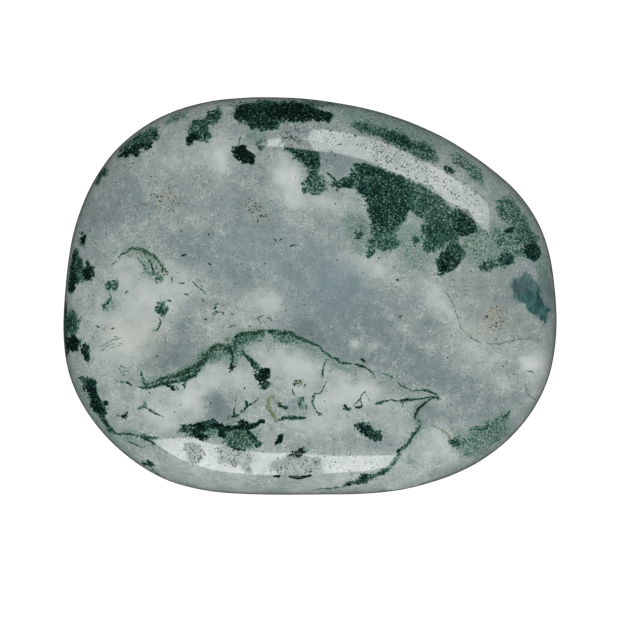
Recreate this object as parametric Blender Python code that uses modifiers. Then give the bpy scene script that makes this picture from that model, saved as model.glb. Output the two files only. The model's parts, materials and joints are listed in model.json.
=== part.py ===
"""A polished moss agate palm stone, lying on its back.

The stone grew and was cut as one piece, so it is one closed solid. Its form is a coarse cage of
rings, smoothed by a Subdivision Surface. Each ring is the stone's outline, drawn in by a share and
set at a height, so the rings from the lowest to the highest draw the section of the stone.
Metres, +Z up. The origin is on the surface that the stone rests on, under the middle of its box.
"""

import math

import bmesh
import bpy
import numpy as np
from mathutils import Vector

MM = 0.001

LENGTH = 50.0 * MM
WIDTH = 40.3 * MM
THICKNESS = 14.0 * MM

# The outline seen from above: how far it is from the middle, at even steps from +X, anticlockwise.
OUTLINE_RADII_MM = (
    25.4, 24.7, 22.5, 20.7, 19.8,
    19.8, 21.0, 23.1, 24.7, 25.0,
    25.1, 25.9, 25.2, 23.5, 21.2,
    20.2, 21.1, 23.1, 25.2, 26.1,
)
HALF_STEP = math.pi / len(OUTLINE_RADII_MM)

# The section: each ring's share of the outline and its share of the thickness, from the underside up.
SECTION_RINGS = (
    (0.44, 0.000),
    (0.70, 0.000),
    (0.89, 0.085),
    (0.99, 0.255),
    (1.02, 0.500),
    (0.99, 0.745),
    (0.89, 0.910),
    (0.70, 0.985),
    (0.44, 1.005),
)
CROWN_SHARE = 1.010
# The faces along each side of the grid that closes a ring: a quarter of the ring's own.
FILL_SPAN = len(OUTLINE_RADII_MM) // 4
SMOOTH_LEVELS = 2

AGATE_COLOUR = (0.33, 0.37, 0.36, 1.0)
AGATE_ROUGHNESS = 0.12


def clear_scene():
    """Removes every object that the file starts with."""
    for old in list(bpy.data.objects):
        bpy.data.objects.remove(old)


def outline_cage_points():
    """The cage points whose smooth curve passes through the outline's own points."""
    count = len(OUTLINE_RADII_MM)
    turns = [2 * math.pi * k / count for k in range(count)]
    outline = np.array(
        [(r * MM * math.cos(a), r * MM * math.sin(a)) for r, a in zip(OUTLINE_RADII_MM, turns)]
    )
    # A cubic curve passes each cage point at 4/6 of it and 1/6 of each neighbour.
    one = np.eye(count)
    passes = (4 * one + np.roll(one, 1, axis=0) + np.roll(one, -1, axis=0)) / 6
    return np.linalg.solve(passes, outline)


def turn_of(vertex):
    """The angle of a vertex, anticlockwise from half a step before +X, so the one on +X is first."""
    return (math.atan2(vertex.co.y, vertex.co.x) + HALF_STEP) % (2 * math.pi)


def place_ring(vertices, cage, shape):
    """Puts the vertices of one ring on the cage's outline, drawn in and raised as its shape says."""
    share, height = shape
    for vertex, (x, y) in zip(sorted(vertices, key=turn_of), cage):
        vertex.co = Vector((x * share, y * share, height * THICKNESS))


def build_cage():
    """The coarse cage: a tube of rings, closed above and below by a grid of faces."""
    cage = outline_cage_points()
    bpy.ops.mesh.primitive_circle_add(vertices=len(cage), radius=LENGTH / 2)
    stone = bpy.context.object
    bpy.ops.object.mode_set(mode="EDIT")
    mesh = bmesh.from_edit_mesh(stone.data)
    place_ring(mesh.verts, cage, SECTION_RINGS[0])
    lowest = top = list(mesh.edges)
    for shape in SECTION_RINGS[1:]:
        drawn = bmesh.ops.extrude_edge_only(mesh, edges=top)["geom"]
        place_ring([g for g in drawn if isinstance(g, bmesh.types.BMVert)], cage, shape)
        top = [g for g in drawn if isinstance(g, bmesh.types.BMEdge) and g.is_boundary]
    close_with_grid(stone, mesh, lowest, 0.0)
    close_with_grid(stone, mesh, top, CROWN_SHARE * THICKNESS)
    bpy.ops.mesh.select_all(action="SELECT")
    bpy.ops.mesh.normals_make_consistent(inside=False)
    bpy.ops.object.mode_set(mode="OBJECT")
    return stone


def close_with_grid(stone, mesh, rim, height):
    """Closes a round rim with a grid of four-sided faces, whose inner points lie at one height."""
    bpy.ops.mesh.select_all(action="DESELECT")
    for edge in rim:
        edge.select_set(True)
    bmesh.update_edit_mesh(stone.data)
    before = set(mesh.verts)
    bpy.ops.mesh.fill_grid(span=FILL_SPAN)
    for vertex in set(mesh.verts) - before:
        vertex.co.z = height


def evaluated_box(stone):
    """The lowest and highest corner of the stone as its modifiers leave it."""
    bpy.context.view_layer.update()
    shape = stone.evaluated_get(bpy.context.evaluated_depsgraph_get())
    points = np.array([v.co for v in shape.data.vertices])
    return points.min(axis=0), points.max(axis=0)


def fit_to_size(stone):
    """Brings the smoothed stone to its length, width and thickness, centred over the origin."""
    low, high = evaluated_box(stone)
    sizes = np.array([LENGTH, WIDTH, THICKNESS])
    scale = sizes / (high - low)
    middle = (low + high) / 2
    for vertex in stone.data.vertices:
        vertex.co.x = (vertex.co.x - middle[0]) * scale[0]
        vertex.co.y = (vertex.co.y - middle[1]) * scale[1]
        vertex.co.z = vertex.co.z * scale[2]


def agate_material():
    """The stone's own finish: pale grey-green, polished."""
    material = bpy.data.materials.new("moss_agate")
    material.use_nodes = True
    surface = material.node_tree.nodes["Principled BSDF"]
    surface.inputs["Base Color"].default_value = AGATE_COLOUR
    surface.inputs["Roughness"].default_value = AGATE_ROUGHNESS
    surface.inputs["Metallic"].default_value = 0.0
    return material


def build_stone(collection):
    """The whole stone, smoothed, sized, shaded and dressed."""
    stone = build_cage()
    stone.name = stone.data.name = "moss_agate_stone"
    smooth = stone.modifiers.new("smooth", "SUBSURF")
    smooth.levels = smooth.render_levels = SMOOTH_LEVELS
    fit_to_size(stone)
    stone.data.shade_smooth()
    stone.data.materials.append(agate_material())
    for holder in stone.users_collection:
        holder.objects.unlink(stone)
    collection.objects.link(stone)
    return stone


def main():
    """Clears the file and builds the stone in a collection of its own."""
    clear_scene()
    collection = bpy.data.collections.new("moss_agate")
    bpy.context.scene.collection.children.link(collection)
    build_stone(collection)


main()
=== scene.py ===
"""A polished moss agate palm stone, lying on a plain white floor under soft studio light.

The stone is one piece: a flat, rounded pebble of milky grey chalcedony with green and black moss
inside it. Its form is modelled from a ring, and its markings are drawn in nodes from soft ovals and
threads, whose places are given in millimetres as they lie on the stone seen from above.
"""

import json
import logging
import math
from dataclasses import dataclass
from enum import Enum

import bpy
import numpy as np
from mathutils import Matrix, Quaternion, Vector

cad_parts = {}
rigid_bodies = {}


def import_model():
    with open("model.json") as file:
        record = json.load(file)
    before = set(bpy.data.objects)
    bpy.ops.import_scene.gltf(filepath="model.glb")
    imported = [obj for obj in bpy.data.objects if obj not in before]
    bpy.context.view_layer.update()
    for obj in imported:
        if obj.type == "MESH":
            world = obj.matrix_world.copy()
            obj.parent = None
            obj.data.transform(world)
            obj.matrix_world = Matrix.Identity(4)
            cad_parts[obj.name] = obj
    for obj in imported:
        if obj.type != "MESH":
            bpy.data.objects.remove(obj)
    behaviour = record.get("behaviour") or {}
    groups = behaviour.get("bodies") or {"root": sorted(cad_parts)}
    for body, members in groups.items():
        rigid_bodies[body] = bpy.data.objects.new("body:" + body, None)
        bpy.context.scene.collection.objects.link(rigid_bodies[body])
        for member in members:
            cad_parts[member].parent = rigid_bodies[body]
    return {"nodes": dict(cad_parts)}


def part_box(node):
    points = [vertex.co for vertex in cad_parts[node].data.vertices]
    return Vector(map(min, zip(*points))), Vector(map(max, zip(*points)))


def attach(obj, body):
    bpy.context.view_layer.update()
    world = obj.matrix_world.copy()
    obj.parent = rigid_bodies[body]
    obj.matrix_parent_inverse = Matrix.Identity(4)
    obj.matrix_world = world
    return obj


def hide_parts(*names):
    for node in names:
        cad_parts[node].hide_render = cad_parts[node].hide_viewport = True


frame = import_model()

MM = 0.001
STONE_NODE = "moss_agate_stone"

# A speck's least radius as a share of the largest, and where its edge ends and begins, as shares of its own.
LEAST_SPECK = 0.35
SPECK_EDGE = (1.35, 0.55)
# Noise keeps within about a quarter of its middle value, so this much makes it a full reach.
DRIFT_GAIN = 4.0
# What a thread's half breadth falls to past its ends, as a share of how far its edge fades.
PAST_END = -1.05

log = logging.getLogger("moss_agate")

# What a node's socket is fed with: a plain value or another node's output.
Socket = bpy.types.NodeSocket
Feed = float | tuple[float, ...] | Socket
# Where a value begins to count and where it counts in full and, where given, how much it does at each.
Range = tuple[float, ...]


class Moss(float, Enum):
    """How thick the moss lies under the surface, from a mere tint to solid black."""

    MIST = 0.30
    HAZE = 0.50
    PALE = 0.75
    GREEN = 1.10
    DEEP = 1.50
    DARK = 1.80
    BLACK = 2.40


@dataclass(frozen=True)
class Oval:
    """A soft-edged oval of the stone's markings, in millimetres, as seen from above.

    Attributes:
        depth: How strongly it marks the stone.
        x: How far its middle lies to the right of the stone's.
        y: How far its middle lies above the stone's, in the picture.
        length: How long it is.
        width: How wide it is, across its length.
        turn: How far its length is turned anticlockwise, in degrees.
        soft: The share of its radius over which its edge fades, each way.
    """

    depth: float
    x: float
    y: float
    length: float
    width: float
    turn: float = 0.0
    soft: float = 0.35


@dataclass(frozen=True)
class Thread:
    """A thread of moss through a row of points, each given by its x, its y and its breadth in mm.

    Attributes:
        depth: How strongly it marks the stone.
        soft: The share of its half breadth over which its edge fades, each way.
        points: The points, in order along the thread.
    """

    depth: float
    soft: float
    points: tuple[tuple[float, float, float], ...]


def ovals(depth: float, *rows: tuple[float, ...]) -> tuple[Oval, ...]:
    """Ovals of one depth, each given by its x, y, length and width, and where needed turn and soft."""
    return tuple(Oval(float(depth), *row) for row in rows)


def clouds(*rows: tuple[float, ...]) -> tuple[Oval, ...]:
    """Ovals each given by its x, y, length, width, turn and depth, which is below 0 where it darkens."""
    return tuple(Oval(depth, *row) for *row, depth in rows)


def threads(depth: float, soft: float, *rows: tuple[tuple[float, float, float], ...]) -> tuple[Thread, ...]:
    """Threads of one depth and softness, each given by its points."""
    return tuple(Thread(float(depth), soft, row) for row in rows)


# The moss along the upper edge, up to the fingers left of the large patch.
TOP_MOSS = (
    *ovals(0.40, (18.6, 11.4, 6.0, 2.0, -45, 0.6)),
    *ovals(0.45, (15.0, 14.0, 8.0, 2.0, -38, 0.6)),
    *ovals(Moss.HAZE, (3.0, 18.4, 5.0, 1.6, -12, 0.6), (-5.3, 16.0, 2.0, 1.5)),
    *ovals(0.55, (8.0, 17.0, 13.0, 2.2, -19, 0.6)),
    *ovals(
        Moss.PALE,
        (-9.2, 18.7, 1.0, 0.7, 80), (-13.4, 17.9, 2.6, 0.8, 30, 0.6), (2.1, 14.4, 0.7, 0.4, -15),
    ),
    *ovals(0.85, (15.8, 12.9, 3.6, 1.4, -42, 0.7)),
    *ovals(
        Moss.GREEN,
        (-17.2, 15.4, 4.6, 1.5, 37, 0.4), (-2.4, 19.3, 10.0, 0.7, 0, 0.5), (-5.0, 15.1, 1.3, 0.9),
        (0.3, 12.4, 1.2, 1.3), (0.6, 11.3, 2.6, 1.8, -15), (-0.3, 10.5, 0.9, 0.7, 20),
        (0.5, 10.2, 1.0, 0.5), (6.4, 16.5, 4.4, 1.3, -17, 0.5), (11.3, 14.4, 3.0, 2.0, -24, 0.5),
    ),
    *ovals(1.25, (-11.1, 16.6, 2.4, 2.1, 65, 0.25)),
    *ovals(
        Moss.DEEP,
        (-10.4, 16.1, 1.2, 1.0), (-9.7, 17.8, 1.8, 1.2, 40, 0.3), (-15.4, 16.0, 0.9, 0.9),
        (-21.0, 12.1, 1.8, 0.6, 57, 0.4), (-4.9, 17.1, 3.2, 1.2, -8, 0.25), (-2.3, 15.2, 1.6, 1.0, -10),
        (-0.9, 14.5, 3.6, 1.7, -28), (0.2, 13.4, 1.9, 1.6, -60), (8.8, 15.7, 3.2, 1.5, -22, 0.5),
        (14.0, 12.6, 1.4, 0.6, -35, 0.5),
    ),
    *ovals(Moss.DARK, (-6.5, 18.3, 2.3, 2.3, 0, 0.2), (-4.9, 18.1, 4.2, 2.7, -4, 0.2)),
    *ovals(
        Moss.BLACK,
        (-11.8, 15.7, 1.2, 0.9, 60), (-17.8, 14.7, 2.6, 0.7, 25, 0.5), (-17.2, 14.2, 0.7, 0.5),
        (-18.5, 14.2, 1.2, 0.5, 10), (-16.3, 15.0, 1.1, 0.5, 40), (-1.8, 18.4, 5.6, 2.0, -3, 0.2),
        (1.0, 17.9, 2.2, 1.4, -8, 0.25), (-6.6, 14.0, 2.4, 1.4, -42, 0.2),
    ),
)

# The large dark patch under the upper highlight.
GREEN_PATCH = (
    *ovals(
        Moss.HAZE,
        (9.9, 5.2, 3.4, 3.6, 0, 0.7), (11.2, 4.0, 3.4, 2.4, 0, 0.7), (4.6, 6.8, 2.4, 3.6, 20, 0.7),
        (5.4, 5.0, 2.2, 1.8, 0, 0.7),
    ),
    *ovals(1.0, (13.2, 7.6, 5.0, 2.4, -30, 0.3)),
    *ovals(
        Moss.GREEN,
        (7.2, 6.6, 2.8, 3.0, 0, 0.3), (7.3, 5.2, 3.0, 1.6, 5, 0.5), (6.1, 4.5, 0.9, 1.5, -25, 0.4),
        (11.6, 9.2, 6.6, 3.0, -32, 0.2), (11.8, 5.4, 1.5, 2.4, 10), (10.6, 5.3, 0.7, 0.9),
        (4.9, 6.0, 1.0, 0.8),
    ),
    *ovals(1.25, (12.9, 6.2, 3.8, 2.6, -15, 0.3)),
    *ovals(1.35, (8.3, 10.4, 5.0, 3.6, -40, 0.15)),
    *ovals(
        Moss.DEEP,
        (3.6, 11.2, 2.4, 1.1), (6.2, 11.7, 4.6, 2.8, -15, 0.15), (6.4, 10.6, 4.6, 3.0, -50, 0.15),
        (7.6, 8.6, 4.8, 3.6, -70, 0.2), (15.1, 7.4, 3.2, 2.4, -42, 0.15), (13.9, 3.7, 3.7, 2.2, 57, 0.15),
    ),
    *ovals(Moss.BLACK, (13.3, 2.8, 1.2, 0.7, 40, 0.5)),
)

# The moss along the right edge, and the fern-like patch at the lower right.
RIGHT_MOSS = (
    *ovals(
        Moss.HAZE,
        (22.2, 9.0, 5.0, 1.6, -55, 0.6), (23.4, 2.8, 3.6, 1.4, -75, 0.6), (10.1, -16.4, 1.5, 0.8, -70, 0.6),
    ),
    *ovals(0.6, (18.2, 4.6, 6.0, 4.2, 10, 0.6), (16.6, 6.0, 3.2, 3.0, -40, 0.7)),
    *ovals(0.7, (16.0, -14.9, 4.0, 2.4, -20, 0.5), (19.1, -12.7, 2.8, 1.5, 60, 0.5)),
    *ovals(Moss.PALE, (17.9, -13.8, 4.6, 2.6, 20, 0.5)),
    *ovals(0.85, (20.2, 5.2, 4.4, 2.8, -30, 0.5)),
    *ovals(0.95, (19.8, 8.5, 3.0, 2.4, -60, 0.4), (21.0, 7.0, 4.0, 2.2, -55, 0.5)),
    *ovals(
        Moss.GREEN,
        (21.8, 5.8, 2.2, 2.0, -60, 0.5), (17.8, 3.0, 1.9, 1.2, 25, 0.4), (14.5, -14.6, 1.4, 0.9, -35, 0.6),
        (17.4, -13.0, 2.6, 0.5, 12, 0.7), (19.7, -11.9, 1.2, 0.5, 65, 0.5),
    ),
    *ovals(Moss.DEEP, (19.5, 3.6, 2.0, 1.3, 20, 0.4)),
    *ovals(Moss.DARK, (22.2, 4.5, 2.0, 2.0, 0, 0.25)),
    *ovals(Moss.BLACK, (19.8, 6.5, 0.9, 0.6, 0, 0.4)),
)

# The moss along the left edge, and the tufts beside it.
LEFT_MOSS = (
    *ovals(0.22, (-18.4, -0.4, 3.2, 3.0, 0, 0.7)),
    *ovals(
        Moss.HAZE,
        (-15.8, 2.8, 2.8, 2.0, -52, 0.6), (-17.6, 4.4, 2.4, 0.8, 15, 0.6), (-20.0, -0.9, 1.6, 1.2, 60, 0.5),
        (-22.3, -11.2, 6.0, 2.0, -60, 0.6), (-19.6, -14.9, 4.4, 1.4, -48, 0.6),
        (-17.0, -14.2, 4.4, 1.4, -14, 0.6),
    ),
    *ovals(
        Moss.PALE,
        (-15.2, 1.9, 1.2, 0.7, -45, 0.6), (-16.7, -11.1, 0.9, 0.6, 20, 0.5),
        (-15.4, -17.8, 1.2, 0.4, -45, 0.6),
    ),
    *ovals(
        Moss.GREEN,
        (-22.9, 6.2, 0.5, 0.4), (-22.9, 2.2, 1.8, 1.8), (-19.7, 1.1, 1.4, 1.0, 10, 0.5),
        (-20.6, -1.1, 0.5, 0.5, 0, 0.5), (-14.8, -1.4, 1.2, 1.1, 0, 0.5),
        (-16.0, -14.0, 1.6, 0.5, -10, 0.5),
    ),
    *ovals(1.25, (-24.0, -2.7, 2.0, 2.2, 0, 0.5)),
    *ovals(
        Moss.DEEP,
        (-23.3, 3.2, 1.8, 0.9, 80), (-23.8, -2.6, 1.2, 1.0, 0, 0.5), (-16.2, -17.0, 1.1, 0.5, -20, 0.5),
        (-18.2, -8.75, 0.5, 0.3, -20),
    ),
    *ovals(
        Moss.BLACK,
        (-22.8, 5.4, 1.1, 0.7, 62), (-22.2, 2.5, 1.5, 1.5, 0, 0.25), (-23.7, 1.1, 1.6, 0.8, 75),
        (-14.5, 2.4, 0.45, 0.35), (-23.9, -4.8, 1.6, 1.7), (-23.3, -5.2, 0.7, 0.5, 60),
        (-22.4, -5.7, 1.8, 0.9, 97, 0.25), (-21.9, -9.3, 2.4, 1.2, -65, 0.4),
        (-21.4, -10.9, 2.4, 1.1, -62, 0.4), (-20.4, -10.7, 0.6, 0.5, 60), (-18.5, -12.0, 0.6, 0.5),
    ),
)

# The moss in and round the leaf, in the lower half.
LOWER_MOSS = (
    *ovals(0.25, (-1.2, -11.2, 2.4, 1.8, 0, 0.7)),
    *ovals(
        Moss.MIST,
        (-13.4, -7.6, 4.0, 1.6, 20, 0.8), (-6.4, -11.2, 3.6, 1.6, 30, 0.8), (7.2, -17.4, 3.2, 0.9, 38, 0.8),
        (10.2, -10.0, 3.6, 0.7, -8, 0.8), (4.2, -6.6, 6.0, 0.9, -26, 0.8),
    ),
    *ovals(
        Moss.HAZE,
        (-14.6, -8.3, 5.0, 1.0, 12, 0.6), (-7.6, -12.6, 2.0, 0.7, 20, 0.5),
        (-5.3, -14.1, 1.8, 1.5, -40, 0.5),
    ),
    *ovals(
        Moss.PALE,
        (-9.2, -5.7, 2.6, 1.3, 30, 0.6), (-7.4, -5.4, 2.6, 2.4, 0, 0.7), (-5.7, -4.2, 2.4, 0.9, 5, 0.6),
        (-2.6, -4.1, 3.2, 1.0, -12, 0.6), (-10.6, -13.4, 4.4, 1.6, -4, 0.5),
        (-1.0, -8.7, 0.8, 0.5, 20, 0.5), (-0.8, -10.8, 0.9, 0.8, 0, 0.5),
    ),
    *ovals(1.0, (-7.2, -14.1, 3.6, 1.8, -12, 0.6)),
    *ovals(Moss.GREEN, (-12.6, -8.9, 0.6, 0.4, 60)),
    *ovals(
        Moss.DEEP,
        (-11.5, -7.5, 1.0, 0.7, 25), (-4.4, -8.9, 1.0, 0.8), (-12.5, -13.1, 1.1, 0.8, -10),
        (-10.1, -12.9, 2.2, 0.8, -6, 0.4), (3.65, -11.1, 0.5, 0.4), (0.75, -11.5, 0.7, 0.3, -10),
        (5.5, -18.3, 1.4, 0.7, 15, 0.5), (7.3, -17.7, 1.0, 0.6, 35, 0.5),
    ),
    *ovals(Moss.DARK, (5.5, -13.2, 1.8, 1.3, -30, 0.2), (6.4, -13.8, 1.8, 1.3, -25, 0.2)),
    *ovals(
        Moss.BLACK,
        (-13.75, -9.25, 0.65, 0.5, 0, 0.3), (-7.7, -7.2, 0.4, 0.35), (-4.7, -7.85, 1.45, 1.4, -30, 0.2),
        (-11.2, -13.1, 1.4, 1.1, 0, 0.4), (-11.1, -13.8, 1.9, 0.6, -24, 0.4),
        (-9.0, -13.1, 1.6, 0.6, -8, 0.3), (-8.9, -13.8, 1.05, 1.0, 0, 0.3),
        (-6.6, -12.7, 1.0, 0.8, 10, 0.3), (-2.95, -14.1, 1.2, 0.6, 72), (-1.2, -15.7, 1.6, 0.55, 12, 0.3),
        (-0.9, -15.3, 0.8, 0.5, 20, 0.4), (4.0, -18.8, 0.8, 0.35, 15, 0.4), (8.9, -15.4, 0.5, 0.35, 20),
    ),
)

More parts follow.
